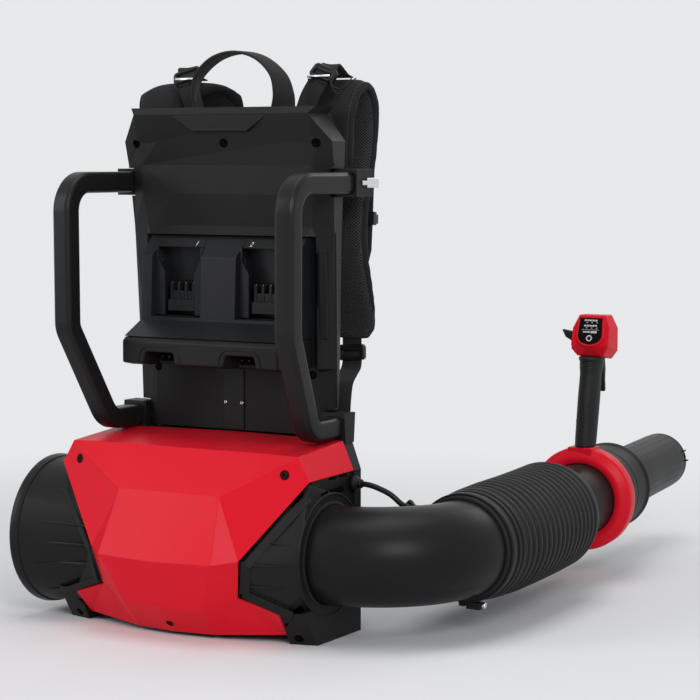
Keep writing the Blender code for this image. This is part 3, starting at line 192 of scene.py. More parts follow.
def swept(places, outline, joined=False):
    """Draw an outline of (x, y) pairs through a list of places, by extruding its edge from each to the next."""
    shape = bmesh.new()
    ring = [shape.verts.new((x, y, 0)) for x, y in outline]
    first = [shape.edges.new(pair) for pair in zip(ring, ring[1:] + ring[:1])]
    bmesh.ops.transform(shape, matrix=places[0], verts=ring)
    edges = first
    for before, after in zip(places, places[1:]):
        grown = bmesh.ops.extrude_edge_only(shape, edges=edges)["geom"]
        spots = set(verts_in(grown))
        edges = [part for part in grown if isinstance(part, bmesh.types.BMEdge) and set(part.verts) <= spots]
        bmesh.ops.transform(shape, matrix=after @ before.inverted(), verts=list(spots))
    if joined:
        bmesh.ops.bridge_loops(shape, edges=first + edges)
    else:
        bmesh.ops.edgenet_fill(shape, edges=first)
        bmesh.ops.edgenet_fill(shape, edges=edges)
    bmesh.ops.recalc_face_normals(shape, faces=shape.faces)
    return shape


def at_angle(degrees, radius=1.0):
    """The across and up parts of a point at an angle round a centre."""
    return radius * math.cos(math.radians(degrees)), radius * math.sin(math.radians(degrees))


def circle(radius, sides):
    return [at_angle(360 * step / sides, radius) for step in range(sides)]


def add_group(name, inputs, outputs):
    """An empty shader node group with named sockets, and its input and output nodes."""
    group = bpy.data.node_groups.new(name, "ShaderNodeTree")
    for label, kind, value in inputs:
        socket = group.interface.new_socket(name=label, in_out="INPUT", socket_type=kind)
        if value is not None:
            socket.default_value = value
    for label, kind in outputs:
        group.interface.new_socket(name=label, in_out="OUTPUT", socket_type=kind)
    return group, group.nodes.new("NodeGroupInput"), group.nodes.new("NodeGroupOutput")


def add_node(tree, kind, inputs=None, **settings):
    """A shader node with its own settings. Each input, by name or number, takes a plain value or a socket's link."""
    node = tree.nodes.new(kind)
    for name, value in settings.items():
        setattr(node, name, value)
    for label, value in (inputs or {}).items():
        if isinstance(value, bpy.types.NodeSocket):
            tree.links.new(value, node.inputs[label])
        else:
            node.inputs[label].default_value = value
    return node


def math_node(tree, operation, *values):
    return add_node(tree, "ShaderNodeMath", dict(enumerate(values)), operation=operation).outputs[0]


def noise_node(tree, coordinates, scale, detail):
    return add_node(tree, "ShaderNodeTexNoise", {"Detail": detail, "Vector": coordinates,
                                                 "Scale": scale}).outputs["Fac"]


def mix_colours(tree, share, first, second):
    return add_node(tree, "ShaderNodeMix", {0: share, 6: first, 7: second}, data_type="RGBA").outputs[2]


COLOUR, FLOAT = "NodeSocketColor", "NodeSocketFloat"

# The grain of a spark-eroded mould, with faint rubbed patches, fine scratches and dust on upward faces
moulded, given, made = add_group(
    "moulded_surface",
    [("Colour", COLOUR, None), ("Rubbed Colour", COLOUR, None), ("Roughness", FLOAT, 0.5),
     ("Grain Scale", FLOAT, 2200.0), ("Wear", FLOAT, 0.3)],
    [("Colour", COLOUR), ("Roughness", FLOAT), ("Height", FLOAT)])
spots = moulded.nodes.new("ShaderNodeTexCoord").outputs["Object"]
grain = noise_node(moulded, spots, given.outputs["Grain Scale"], 2.0)
patches = noise_node(moulded, spots, 14.0, 4.0)
stretch = add_node(moulded, "ShaderNodeMapping", {"Scale": (40.0, 60.0, 900.0), "Rotation": (0.5, 0.9, 0.3),
                                                  "Vector": spots})
streaks = noise_node(moulded, stretch.outputs[0], 1.0, 1.0)
scratches = math_node(moulded, "MULTIPLY", math_node(moulded, "GREATER_THAN", streaks, 0.78), given.outputs["Wear"])
rubbed = math_node(moulded, "MULTIPLY", math_node(moulded, "SMOOTH_MIN", patches, 0.8, 0.2), given.outputs["Wear"])
facing = add_node(moulded, "ShaderNodeSeparateXYZ", {0: moulded.nodes.new("ShaderNodeNewGeometry").outputs["Normal"]})
upward = math_node(moulded, "MULTIPLY", math_node(moulded, "MAXIMUM", facing.outputs["Z"], 0.0), patches)
dusted = math_node(moulded, "MULTIPLY", upward, 0.015)
shade = mix_colours(moulded, math_node(moulded, "ADD", rubbed, scratches), given.outputs["Colour"],
                    given.outputs["Rubbed Colour"])
moulded.links.new(mix_colours(moulded, dusted, shade, (0.25, 0.24, 0.22, 1.0)), made.inputs["Colour"])
uneven = math_node(moulded, "MULTIPLY_ADD", math_node(moulded, "SUBTRACT", patches, 0.5), 0.16,
                   given.outputs["Roughness"])
fine = math_node(moulded, "MULTIPLY_ADD", math_node(moulded, "SUBTRACT", grain, 0.5), 0.10, uneven)
moulded.links.new(math_node(moulded, "MULTIPLY_ADD", scratches, 0.25, fine), made.inputs["Roughness"])
moulded.links.new(math_node(moulded, "SUBTRACT", grain, math_node(moulded, "MULTIPLY", scratches, 0.3)),
                  made.inputs["Height"])


def new_finish(name, values):
    """A new material, its node tree and its shader, whose plain values are given by name."""
    finish = bpy.data.materials.new(name)
    finish.use_nodes = True
    shader = finish.node_tree.nodes["Principled BSDF"]
    for label, value in values.items():
        shader.inputs[label].default_value = value
    return finish, finish.node_tree, shader


def add_bump(tree, shader, height, depth):
    bump = add_node(tree, "ShaderNodeBump", {"Distance": depth, "Height": height})
    tree.links.new(bump.outputs["Normal"], shader.inputs["Normal"])


def moulded_finish(name, colour, roughness, grain_scale=2200.0, grain_depth=0.00003, wear=0.25, specular=0.16,
                   metallic=0.0, coat=0.0):
    """A moulded, cast or painted surface: its colour, its sheen, and how coarse and deep its grain is."""
    finish, tree, shader = new_finish(name, {"Metallic": metallic, "Specular IOR Level": specular,
                                             "Coat Weight": coat, "Coat Roughness": 0.12})
    lift = 0.25 if max(colour) > 0.2 else 0.8
    surface = add_node(tree, "ShaderNodeGroup", {
        "Colour": (*colour, 1.0), "Rubbed Colour": (*[part * (1 + lift) + 0.002 for part in colour], 1.0),
        "Roughness": roughness, "Grain Scale": grain_scale, "Wear": wear}, node_tree=moulded)
    tree.links.new(surface.outputs["Colour"], shader.inputs["Base Color"])
    tree.links.new(surface.outputs["Roughness"], shader.inputs["Roughness"])
    add_bump(tree, shader, surface.outputs["Height"], grain_depth)
    return finish


def mesh_of(name, shape):
    """A mesh made from a shape, which is then let go."""
    mesh = bpy.data.meshes.new(name)
    shape.to_mesh(mesh)
    shape.free()
    return mesh


def add_piece(name, shape, finish, slot, *nodes, body="blower_body", crease=None, flat=None):
    """Make a piece from a shape in metres. It rides on a body and may stand for CAD nodes.

    Crease is the angle, in degrees, past which an edge stays sharp. Without one, large faces stay flat up to their
    rounded edges.
    """
    mesh = mesh_of(name, shape)
    mesh.materials.append(finish)
    piece = put_in_scene(name, mesh)
    flat = not crease if flat is None else flat
    if crease or flat:
        mesh.shade_smooth()
    if crease:
        mesh.set_sharp_from_angle(angle=math.radians(crease))
    if flat:
        evening = piece.modifiers.new("even_faces", "WEIGHTED_NORMAL")
        evening.weight = 100
        evening.keep_sharp = True
    if body:
        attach(piece, body)
    if nodes:
        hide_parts(*nodes)
    return piece


jacket = moulded_finish("cable_jacket", (0.009, 0.009, 0.010), 0.34, 900.0, 0.00001, 0.1)
LUG_HALF = 3.5
GLAND_FACE = Vector((OUTLET_X + 10, 46, 153))
ELBOW_CLIP = Vector((203, 68, 130))
CLIP_WAY = Vector((0, 0.98, -0.2)).normalized()
TUBE_CLIP = beside_hose(BELLOWS_END + 30, -52.5, 24.5)
gland_exit = GLAND_FACE + Vector((GAP, 0, 0))
clip_in = ELBOW_CLIP - CLIP_WAY * (LUG_HALF + GAP)
clip_out = ELBOW_CLIP + CLIP_WAY * (LUG_HALF + GAP)
tube_in = TUBE_CLIP - TUBE_WAY * (LUG_HALF + GAP)
tube_out = TUBE_CLIP + TUBE_WAY * (LUG_HALF + GAP)
ring_entry = beside_hose(RING_STATION - 14, -42, 20) - TUBE_WAY * 0.5
CABLE_ROUTES = {
    "body_cable": ("blower_body", "elbow", 4, [
        gland_exit, gland_exit + Vector((7, 0.2, -0.5)), (177, 47.5, 150), (190, 51.5, 143.5),
        (199.5, 55.5, 134.5), clip_in - CLIP_WAY * 4, clip_in]),
    "hose_cable": ("elbow", "front_hose", 4, [
        clip_out, clip_out + CLIP_WAY * 8, (196, 100, 124), (187, 140, 118.5), (181, 190, 115),
        (177.5, 240, 113), (176, 290, 112.5), (176, 330, 113.5), tube_in - TUBE_WAY * 10, tube_in]),
    "handle_cable": ("front_hose", "handle", 5, [
        tube_out, tube_out + TUBE_WAY * 10, beside_hose(RING_STATION - 44, -50, 23.5),
        ring_entry - TUBE_WAY * 9, ring_entry]),
}


for node, (start_body, end_body, steps, route) in CABLE_ROUTES.items():
    path = smooth_path(route, steps)
    tube = swept(path_places(path, (0, 0, 1)), circle(CABLE_RADIUS, 16))
    cable = add_piece(node + "_jacket", tube, jacket, "cable_jacket", node, body=None, crease=50)
    line = [point * MM for point in path]
    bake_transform(cable)

# ---- Fan housing, base plate and cover
# An injection-moulded shell of satin black nylon on a base plate, with a red cover of the same plastic screwed on
# the front by three recessed screws. The mould leaves rounded edges and a fine grain.
black = moulded_finish("black_plastic", (0.0085, 0.0085, 0.009), 0.45, 1700.0, 0.00005, 0.28)
dark_grey = moulded_finish("dark_grey_plastic", (0.0105, 0.011, 0.012), 0.38, 2200.0, 0.00003, 0.2)
red = moulded_finish("red_plastic", (0.69, 0.008, 0.022), 0.36, 2000.0, 0.00003, 0.10, specular=0.10, coat=0.03)


def body_of(node):
    return frame["nodes"][node]["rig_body"]


def shape_from(mesh):
    shape = bmesh.new()
    shape.from_mesh(mesh)
    return shape


def merge_faces(shape, flatness):
    """Merge a shape's triangles back into whole faces. The flatness is in degrees."""
    bmesh.ops.dissolve_limit(shape, angle_limit=math.radians(flatness), verts=shape.verts, edges=shape.edges)


def joined_copy(node):
    """A copy of a node's shape with its triangles joined at their corners."""
    shape = shape_from(frame["nodes"][node].data)
    bmesh.ops.remove_doubles(shape, verts=shape.verts, dist=0.00002)
    return shape


def merged_copy(node):
    shape = joined_copy(node)
    merge_faces(shape, 0.6)
    return shape


def round_edges(shape, width, sharper=12.0, segments=3):
    """Round every edge that turns by more than the given angle, in degrees. The width is in millimetres."""
    edges = [edge for edge in shape.edges
             if len(edge.link_faces) == 2 and edge.calc_face_angle(0.0) > math.radians(sharper)]
    bmesh.ops.bevel(shape, geom=edges, offset=width * MM, offset_type="OFFSET", affect="EDGES", segments=segments,
                    profile=0.5, material=-1, clamp_overlap=True, miter_outer="ARC")


def shell_piece(node, finish, slot, width, sharper=12.0, segments=3, shape=None, ending="_shell"):
    """A moulded piece: the node's own shape, or one drawn from it, with its edges rounded."""
    shape = shape or merged_copy(node)
    round_edges(shape, width, sharper, segments)
    add_piece(node + ending, shape, finish, slot, node, body=body_of(node))


def rounded_cube(place, rounding):
    """A unit cube put in its place, with its edges rounded by a width in millimetres."""
    shape = bmesh.new()
    bmesh.ops.create_cube(shape, size=1.0)
    bmesh.ops.transform(shape, matrix=place, verts=shape.verts)
    bmesh.ops.bevel(shape, geom=shape.edges[:], offset=rounding * MM, affect="EDGES", segments=2, profile=0.5,
                    material=-1)
    return shape


def bar_between(start, end, width, height, up, rounding=0.25):
    """A small rounded rib from one point to another, in millimetres, standing along the up vector."""
    start, end, up = Vector(start), Vector(end), Vector(up).normalized()
    way = (end - start).normalized()
    across = way.cross(up).normalized()
    turn = Matrix((across, across.cross(way), way)).transposed().to_4x4()
    sizes = Matrix.Diagonal((width, height, (end - start).length, 1.0))
    return rounded_cube(Matrix.Scale(MM, 4) @ Matrix.Translation((start + end) / 2) @ turn @ sizes,
                        min(width, height) * rounding)


def gather(shapes):
    """Put several separate shapes into one."""
    whole = bmesh.new()
    for shape in shapes:
        part = mesh_of("part", shape)
        whole.from_mesh(part)
        bpy.data.meshes.remove(part)
    return whole


def facing_place(centre, way):
    """A place for a shape drawn in millimetres, its Z along the way."""
    turn = Vector(way).to_track_quat("Z", "Y").to_matrix().to_4x4()
    return Matrix.Scale(MM, 4) @ Matrix.Translation(centre) @ turn


def turned(profile, centre, way, steps=48):
    """A profile of (along, radius) pairs, in millimetres, spun round a line through the centre."""
    shape = bmesh.new()
    line = [shape.verts.new((radius, 0, along)) for along, radius in profile]
    for first, second in zip(line, line[1:] + line[:1]):
        if max(first.co.x, second.co.x) > 0:
            shape.edges.new((first, second))
    bmesh.ops.spin(shape, geom=shape.verts[:] + shape.edges[:], axis=(0, 0, 1), angle=math.tau, steps=steps,
                   use_merge=True)
    bmesh.ops.remove_doubles(shape, verts=shape.verts, dist=0.001)
    bmesh.ops.transform(shape, matrix=facing_place(centre, way), verts=shape.verts)
    bmesh.ops.recalc_face_normals(shape, faces=shape.faces)
    return shape


# Painted shade: a near-black and a dark red finish stand for the shade inside holes, slots, a slit and sockets.
painted_shade_black = moulded_finish("painted_pit_shade", (0.002, 0.002, 0.002), 0.8, 1500.0, 0.00003, 0.0, specular=0.02)
painted_shade_red = moulded_finish("red_painted_pit_shade", (0.050, 0.002, 0.003), 0.6, 1500.0, 0.00003, 0.0, specular=0.05)


def painted_pit_shade(surface, centre, way, inner, outer, proud=0.25):
    """A ring of painted shade for the dark mouth of a screw's hole, laid on the faces round it. It comes back with
    its own middle.
    """
    way = Vector(way).normalized()
    side = way.cross(Vector((0, 0, 1))).normalized()
    spots, ways = [], []
    for offset in (side, -side, way.cross(side), -way.cross(side)):
        start = (Vector(centre) + offset * (outer + 1.5) + way * 40) * MM
        spot, facing = surface.ray_cast(start, -way)[:2]
        spots.append(spot / MM)
        ways.append(facing)
    middle = sum(spots, Vector()) / 4
    facing = sum(ways, Vector()).normalized()
    mouth = [(-2, inner), (0.05, inner), (proud, inner + 0.4), (proud, outer - 0.5), (0.0, outer), (-2, outer)]
    return turned(mouth, middle, facing, 36)


blackened_steel = moulded_finish("blackened_screw", (0.03, 0.03, 0.032), 0.38, 3000.0, 0.00002, 0.3, metallic=0.8)


def socket_screw(name, centre, way, radius, finish=blackened_steel):
    """A domed screw head with a round socket, its head's face at the centre."""
    head = turned([(-2.5, 0), (-2.5, radius), (-0.6, radius), (0, radius * 0.7), (0, radius * 0.45),
                   (-1.6, radius * 0.4), (-1.6, 0)], centre, way, 24)
    add_piece(name, head, finish, "bright_steel", crease=35)


# The cover's sunk screws are blackened steel, darkened further and tinted red: painted shade and a painted red bounce
# from the hole round each.
sunk_steel_painted_shade = moulded_finish("sunk_screw_painted_shade", (0.012, 0.005, 0.005), 0.5, 3000.0, 0.00002, 0.1, metallic=0.3)
cover = merged_copy("red_cover")
cover_surface = BVHTree.FromBMesh(cover)
shell_piece("red_cover", red, "red_plastic", 1.3, 7.0, shape=cover)
# each cover screw's hole gets a dark red ring of painted shade, for the red plastic in shade inside it
cover_pit_shades = []
for index, (place, screw_way, hole_way, inner, outer) in enumerate((
        ((124.5, -45.5, 170.7), (-0.28, -0.94, 0.2), (0.1, -0.97, 0.2), 2.6, 5.0),
        ((-124.5, -45.5, 170.7), (0.28, -0.94, 0.2), (-0.1, -0.97, 0.2), 2.6, 5.0),
        ((0, -62, 15.6), (0, -0.77, -0.64), (0, -0.77, -0.64), 1.8, 4.4))):
    socket_screw(f"cover_screw_{index + 1}", place, screw_way, 3.0, finish=sunk_steel_painted_shade)
    cover_pit_shades.append(painted_pit_shade(cover_surface, place, hole_way, inner, outer))
add_piece("cover_pit_shades", gather(cover_pit_shades), painted_shade_red, "red_plastic", crease=40)

# A low six-sided pad stands on the cover's middle, left bare
pad_shape = bmesh.new()
outline = [(0, 141.4), (44.1, 141.4), (56, 125), (47, 88), (0, 88), (-47, 88), (-56, 125), (-44.1, 141.4)]
pad_face = pad_shape.faces.new([pad_shape.verts.new((x * MM, -0.2, z * MM)) for x, z in outline])
bmesh.ops.inset_region(pad_shape, faces=[pad_face], thickness=0.0011, depth=0.0)
middle_line = [spot for spot in pad_face.verts if abs(spot.co.x) < 1e-5]
bmesh.ops.connect_vert_pair(pad_shape, verts=middle_line)
raised = {spot for spot in pad_shape.verts if not spot.is_boundary}
for spot in pad_shape.verts:
    hit = cover_surface.ray_cast(spot.co, (0, 1, 0))[0]
    spot.co = hit + Vector((0, -0.0007 if spot in raised else 0.0004, 0))
add_piece("cover_pad", pad_shape, red, "red_plastic")

housing = merged_copy("fan_housing")
housing_surface = BVHTree.FromBMesh(housing)
shell_piece("fan_housing", black, "black_plastic", 1.2, 14.0, shape=housing)
shell_piece("base_plate", black, "black_plastic", 0.8)

# A round ridge runs about the outlet
RIDGE_RADIUS = 61.0
ridge = swept([stand((149.6, y * RIDGE_RADIUS, FAN_HEIGHT + z * RIDGE_RADIUS), (0, -z, y), (1, 0, 0))
               for y, z in circle(1.0, 96)], circle(1.4, 10), joined=True)
add_piece("outlet_ridge", ridge, black, "black_plastic", crease=60)


def gusset(tip, foot, normal, wide, high):
    """A rib that rises and widens from a tip to its foot, in millimetres."""
    tip, foot, normal = Vector(tip), Vector(foot), Vector(normal).normalized()
    across = (foot - tip).cross(normal).normalized()
    shape = bmesh.new()
    for spot in (tip - normal * 0.6, tip + normal * 0.3, foot + across * wide - normal, foot - across * wide - normal,
                 foot + across * wide * 0.5 + normal * high, foot - across * wide * 0.5 + normal * high):
        shape.verts.new(spot * MM)
    bmesh.ops.convex_hull(shape, input=shape.verts)
    return shape


# A chamfered frame runs round each cheek, between the cover's edge and the outlet or the bell
UPPER_CHEEK, LOWER_CHEEK = (0.1, -0.93, 0.35), (0.14, -0.95, -0.29)
frame_bars = [((148, -38.4, 148.8), (131.6, -50.9, 127.6), UPPER_CHEEK, 11),
              ((134, -49.4, 130.5), (95.0, -69.6, 81.5), UPPER_CHEEK, 11.5),
              ((95.0, -69.4, 85.5), (88.8, -62.4, 51.5), LOWER_CHEEK, 11.5),
              ((86.8, -62.6, 52.0), (137.0, -50.4, 32.4), LOWER_CHEEK, 9.5),
              ((-141, -48.9, 138.2), (-118.4, -60.9, 113.5), (0.18, -0.74, 0.62), 5),
              ((-119, -60.7, 114.5), (-96.4, -68.3, 82.0), (0.18, -0.92, 0.3), 5.5),
              ((-97, -68.2, 84.5), (-92.2, -61.2, 49.5), (-0.3, -0.93, -0.2), 6.5),
              ((-89, -61.4, 50.5), (-138, -49.4, 31.8), (-0.14, -0.95, -0.29), 7.5)]
frames = [bar_between(start, end, width, 3.4, normal, 0.3) for start, end, normal, width in frame_bars]
add_piece("cheek_frames", gather(frames), black, "black_plastic")
# Three short ribs and a row of small teeth stand on the cheek beside the outlet
ribs = [gusset(tip, foot, normal, 1.6, 2.2)
        for tip, foot, normal in (((141.0, -58.6, 103.6), (118.0, -60.9, 105.4), UPPER_CHEEK),
                                  ((139.0, -61.7, 82.7), (102.0, -68.8, 83.5), (0.19, -0.97, -0.13)),
                                  ((132.5, -57.5, 60.1), (94.0, -63.7, 60.8), LOWER_CHEEK))]
half_tooth = Vector((0.5, 0, 1.8))
for step in range(17):
    spot = Vector((97.5, -61.5, 55.0)).lerp(Vector((133.0, -53.0, 40.5)), step / 16)
    ribs.append(bar_between(spot - half_tooth, spot + half_tooth, 0.9, 2.6, LOWER_CHEEK))
add_piece("cheek_ribs", gather(ribs), black, "black_plastic")
# two dark strips of painted shade stand for the vent slots on top, and two near-black rings of painted shade for
# holes low on the housing
vents = [bar_between((149.2, -17, 147.6), (149.2, -4, 149.6), 1.2, 5.0, (0, 0, 1), 0.2),
         bar_between((149.2, 2, 149.8), (149.2, 26, 150.2), 1.2, 5.0, (0, 0, 1), 0.2)]
vents += [painted_pit_shade(housing_surface, (134.3, -34.9, 7.3), (0.22, -0.81, -0.54), 0.6, 5.0),
          painted_pit_shade(housing_surface, (-133.8, -34.7, 6.9), (-0.22, -0.81, -0.54), 0.6, 4.6)]
add_piece("housing_slots", gather(vents), painted_shade_black, "black_plastic", crease=40)

# ---- Intake bell, finger guard and fan
# The bell is a separate satin moulding pressed into the housing's left side, with low stiffening ribs outside.
# Behind it lie the moulded guard, the nine-bladed impeller and the motor pod on its fixed vanes.
satin_black = moulded_finish("satin_black_plastic", (0.008, 0.008, 0.0085), 0.34, 1500.0, 0.00004, 0.2)


def fan_turned(profile, steps=96):
    """A shape turned round the fan's axis, from (x, radius) pairs."""
    return turned(profile, (0, 0, FAN_HEIGHT), (1, 0, 0), steps)


bell_rim = [(-189, 79.0), (-190.8, 78.8), (-191.8, 78.0), (-192, 76.9), (-191.4, 76.1), (-190, 75.4)]
bell_throat = [(-174, 70.4), (-164, 67.3), (-150, 64.9), (-136, 62.9), (-120, 61.3), (-108, 60.2), (-96, 59.5)]
bell_back = [(-96, 62.0), (-181, 76.4), (-181.6, 77.6), (-184, 78.2)]
bell = fan_turned(bell_rim + bell_throat + bell_back)
add_piece("intake_bell_flare", bell, satin_black, "black_plastic", "intake_bell", crease=40)
bell_ribs = []
for turn in (-75, -92.3, -110.4, 60, 100, 140, 180, 220):
    spoke = Vector((0, *at_angle(90 - turn)))
    near = Vector((-99, 0, FAN_HEIGHT)) + spoke * 62.6
    far = Vector((-166, 0, FAN_HEIGHT)) + spoke * 73.9
    bell_ribs.append(gusset(far, near, spoke, 2.6, 3.6))
add_piece("bell_ribs", gather(bell_ribs), satin_black, "black_plastic")

hoops = [fan_turned([(-131, inner), (-127.6, inner), (-127, inner + 0.6), (-127, inner + width - 0.6),
                     (-127.6, inner + width), (-130.4, inner + width), (-131, inner + width - 0.6)], 72)
         for inner, width in ((20, 2.5), (39, 2.5), (58, 3.5))]
centre = Vector((-129, 0, FAN_HEIGHT))
for turn in (0, 60, 120):
    spoke = Vector((0, *at_angle(90 - turn, 59.5)))
    hoops.append(bar_between(centre - spoke, centre + spoke, 2.6, 2.8, (1, 0, 0)))
add_piece("intake_guard", gather(hoops), black, "black_plastic", "intake_grille", crease=45)

motor_iron = moulded_finish("motor_iron", (0.22, 0.22, 0.24), 0.42, 700.0, 0.00003, 0.4, metallic=1.0)
bright_steel = moulded_finish("bright_steel", (0.70, 0.70, 0.71), 0.24, 1200.0, 0.00001, 0.3, metallic=1.0)
for finish, nodes in (
        (dark_grey, ("fan_duct", "guide_vanes", "motor_tail_cap", "impeller", "controller_board")),
        (motor_iron, ("motor_stator", "motor_rotor")),
        (bright_steel, ("motor_shaft", "front_bearing", "rear_bearing"))):
    for node in nodes:
        frame["nodes"][node].data.materials.clear()
        frame["nodes"][node].data.materials.append(finish)

# ---- Upper housing and back plate
# A tall faceted shell of the same grained black nylon, closed at the back by a flat plate that the harness is
# screwed to. Two recessed screws hold its top beside a shallow cup, a bare badge plate stands under the top edge,
# and the two slanting flanks beside its falling face are drawn forward here.
upper = joined_copy("upper_housing")
for spot in upper.verts:
    for x, y, z, forward in ((104, 47, 473, 5.5), (104, 48, 443, 5.0), (64, 46, 443, 4.5), (0, 46, 443, 4.5)):
        if (Vector((abs(spot.co.x), spot.co.y, spot.co.z)) - Vector((x, y, z)) * MM).length < 0.0005:
            spot.co.y -= forward * MM
merge_faces(upper, 0.4)
upper_surface = BVHTree.FromBMesh(upper)
shell_piece("upper_housing", black, "black_plastic", 0.9, 2.2, 2, shape=upper)
shell_piece("back_plate", black, "black_plastic", 1.5)
pit_shades = []
for index, x in enumerate((-110.2, 0, 110.2)):
    if x:
        socket_screw(f"housing_screw_{index + 1}", (x, 44, 495.4), (0, -1, 0.1), 3.1)
    # a near-black ring of painted shade lines each screw's hole; the middle one lies over a shallow cup
    pit_shades.append(painted_pit_shade(upper_surface, (x, 38, 495.4), (0, -1, 0.1), 3.2 if x else 0.4, 5.0, 0.5))
# and a near-black disc of painted shade stands for a plain round hole on each flank, under the cable shelf
for x in (-95.9, 95.9):
    pit_shades.append(painted_pit_shade(upper_surface, (x, 57, 259.1), (0.25 * x / 95.9, -1, 0), 0.4, 4.6, 0.4))
add_piece("housing_pit_shades", gather(pit_shades), painted_shade_black, "black_plastic", crease=40)
badge = bar_between((-12.5, 32.2, 517.8), (12.5, 32.2, 517.8), 8.5, 1.6, (0, -0.9, 0.5), 0.3)
add_piece("badge_plate", badge, dark_grey, "dark_grey_plastic")
trim = []
for side in (1, -1):
    # a ledge over the guard bar, a long seam down the flank and the line where the side wall steps in
    trim.append(bar_between((119.5 * side, 45.6, 473.5), (126.4 * side, 50, 473.5), 1.2, 1.4, (0, -1, 0)))
    trim.append(bar_between((108.5 * side, 53.8, 430), (108.5 * side, 58.5, 270), 1.6, 1.2, (side * 0.3, -1, 0)))
    trim.append(bar_between((122.4 * side, 57.5, 405), (119.6 * side, 64.5, 226), 1.4, 1.4, (side, -0.3, 0)))
add_piece("housing_trim", gather(trim), black, "black_plastic")
# A chamfered block with a slit stands on the right flank, beside the dock; the slit is a dark strip of painted shade
block = bar_between((110.5, 52.5, 388), (110.5, 55.5, 296), 10, 5, (0.25, -1, 0), 0.35)
add_piece("flank_block", block, black, "black_plastic")
slit = bar_between((104.6, 50.5, 384), (104.6, 54.0, 296), 1.6, 3.0, (0.2, -1, 0), 0.1)
add_piece("flank_slit", slit, painted_shade_black, "black_plastic")
band = bar_between((0, 56.4, 262), (0, 56.4, 199), 25, 1.6, (0, -1, 0), 0.2)
add_piece("centre_band", band, dark_grey, "dark_grey_plastic")
for index, x in enumerate((-10, 10)):
    socket_screw(f"band_screw_{index + 1}", (x, 55.0, 226), (0, -1, 0), 1.9, finish=bright_steel)

# ---- Battery dock, contacts and cable shelf
# One dark grey moulding with two slide-in bays, screwed to the housing. Each bay has a pair of L-shaped side rails
# and a block of four nickel contact blades. Below it a black shelf carries two recessed sockets.
shell_piece("battery_dock", dark_grey, "dark_grey_plastic", 0.9)
shell_piece("battery_shelf", black, "black_plastic", 2.2)
gloss_black = moulded_finish("gloss_black_plastic", (0.006, 0.006, 0.0065), 0.2, 2600.0, 0.00001, 0.12, coat=0.3)


def slab(corners, depth, rounding=0.5):
    """A flat plate: a polygon of points, in millimetres, drawn out by a depth vector, with its edges rounded."""
    shape = bmesh.new()
    face = shape.faces.new([shape.verts.new(Vector(corner) * MM) for corner in corners])
    drawn = bmesh.ops.extrude_face_region(shape, geom=[face], use_keep_orig=True)["geom"]
    bmesh.ops.translate(shape, vec=Vector(depth) * MM, verts=verts_in(drawn))
    bmesh.ops.recalc_face_normals(shape, faces=shape.faces)
    if rounding:
        bmesh.ops.bevel(shape, geom=shape.edges[:], offset=rounding * MM, affect="EDGES", segments=2,
                        profile=0.5, material=-1, clamp_overlap=True)
    return shape


def box(low, high, rounding):
    """A rounded block between its lowest and its highest corner, in millimetres."""
    return slab([(x, low[1], z) for x, z in ((low[0], low[2]), (high[0], low[2]), (high[0], high[2]),
                                             (low[0], high[2]))], (0, high[1] - low[1], 0), rounding)


BAY_CENTRE = 52.0
rails, ledges, blades = [], [], []
for number, side in ((1, -1), (2, 1)):
    centre = BAY_CENTRE * side
    for wall in (-1, 1):
        profile = [(30.0, 387.4), (30.0, 316.6), (18.6, 316.6), (18.2, 361), (26.2, 374), (26.2, 387.4)]
        rails.append(slab([(centre + wall * x, 33, z) for x, z in profile], (0, 3.2, 0), 0.5))
        rails.append(slab([(centre + wall * x, 36.2, z) for x, z in (
            (29.4, 386), (29.4, 317), (24, 317), (24, 374))], (0, 14.4, 0), 0.4))
    ledges.append(bar_between((centre - 27, 43.6, 396.6), (centre + 27, 43.6, 396.6), 1.4, 1.4, (0, -0.77, 0.63)))
    for wall in (-1, 1):
        ledges.append(bar_between((centre + wall * 30, 30.2, 381.6), (centre + wall * 27, 43.6, 396.6), 1.2, 1.2,
                                  (0, -0.77, 0.63)))
    for x in (-13.5, -4.5, 4.5, 13.5):
        blades.append(box((centre + x - 0.4, 39.4, 339.6), (centre + x + 0.4, 47.6, 351.0), 0.15))
    holders = [box((centre + x - 2.6, 38.4, 333), (centre + x + 2.6, 47.4, 342), 0.4) for x in (-9, 0, 9)]
    add_piece(f"contact_holders_{number}", gather(holders), dark_grey, "dark_grey_plastic")
    shell_piece(f"terminal_block_{number}", dark_grey, "gloss_black_plastic", 0.5)
add_piece("bay_rails", gather(rails), dark_grey, "dark_grey_plastic")
add_piece("bay_ledges", gather(ledges), dark_grey, "dark_grey_plastic")
nickel = moulded_finish("contact_nickel", (0.30, 0.30, 0.30), 0.32, 1200.0, 0.00001, 0.4, metallic=1.0)
add_piece("contact_blades", gather(blades), nickel, "bright_steel")


def as_drawn(item):
    """An object's mesh as its modifiers, its cloth or its letters make it."""
    return bpy.data.meshes.new_from_object(item.evaluated_get(bpy.context.evaluated_depsgraph_get()))


# Plain digits number the bays, printed in white on the dock's sloping top
white_ink = moulded_finish("white_ink", (0.75, 0.75, 0.74), 0.5, 3000.0, 0.0, 0.1)
for digit, x in (("1", -33.5), ("2", 33.5)):
    words = bpy.data.curves.new("digit_" + digit, "FONT")
    words.body = digit
    words.size = 8 * MM
    words.shear = 0.25
    words.extrude = 0.08 * MM
    words.align_x = words.align_y = "CENTER"
    letter = put_in_scene("digit_" + digit, words)
    printed = shape_from(as_drawn(letter))
    bpy.data.objects.remove(letter)
    bmesh.ops.remove_doubles(printed, verts=printed.verts, dist=1e-6)
    slope = Vector((0, 18, 22)).normalized()
    facing = Vector((1, 0, 0)).cross(slope)
    turn = Matrix(((1, 0, 0), slope, facing)).transposed().to_4x4()
    bmesh.ops.transform(printed, matrix=Matrix.Translation(Vector((x, 38.9, 391.5)) * MM + facing * 0.0002) @ turn,
                        verts=printed.verts)
    add_piece("bay_digit_" + digit, printed, white_ink, "gloss_black_plastic", flat=False)
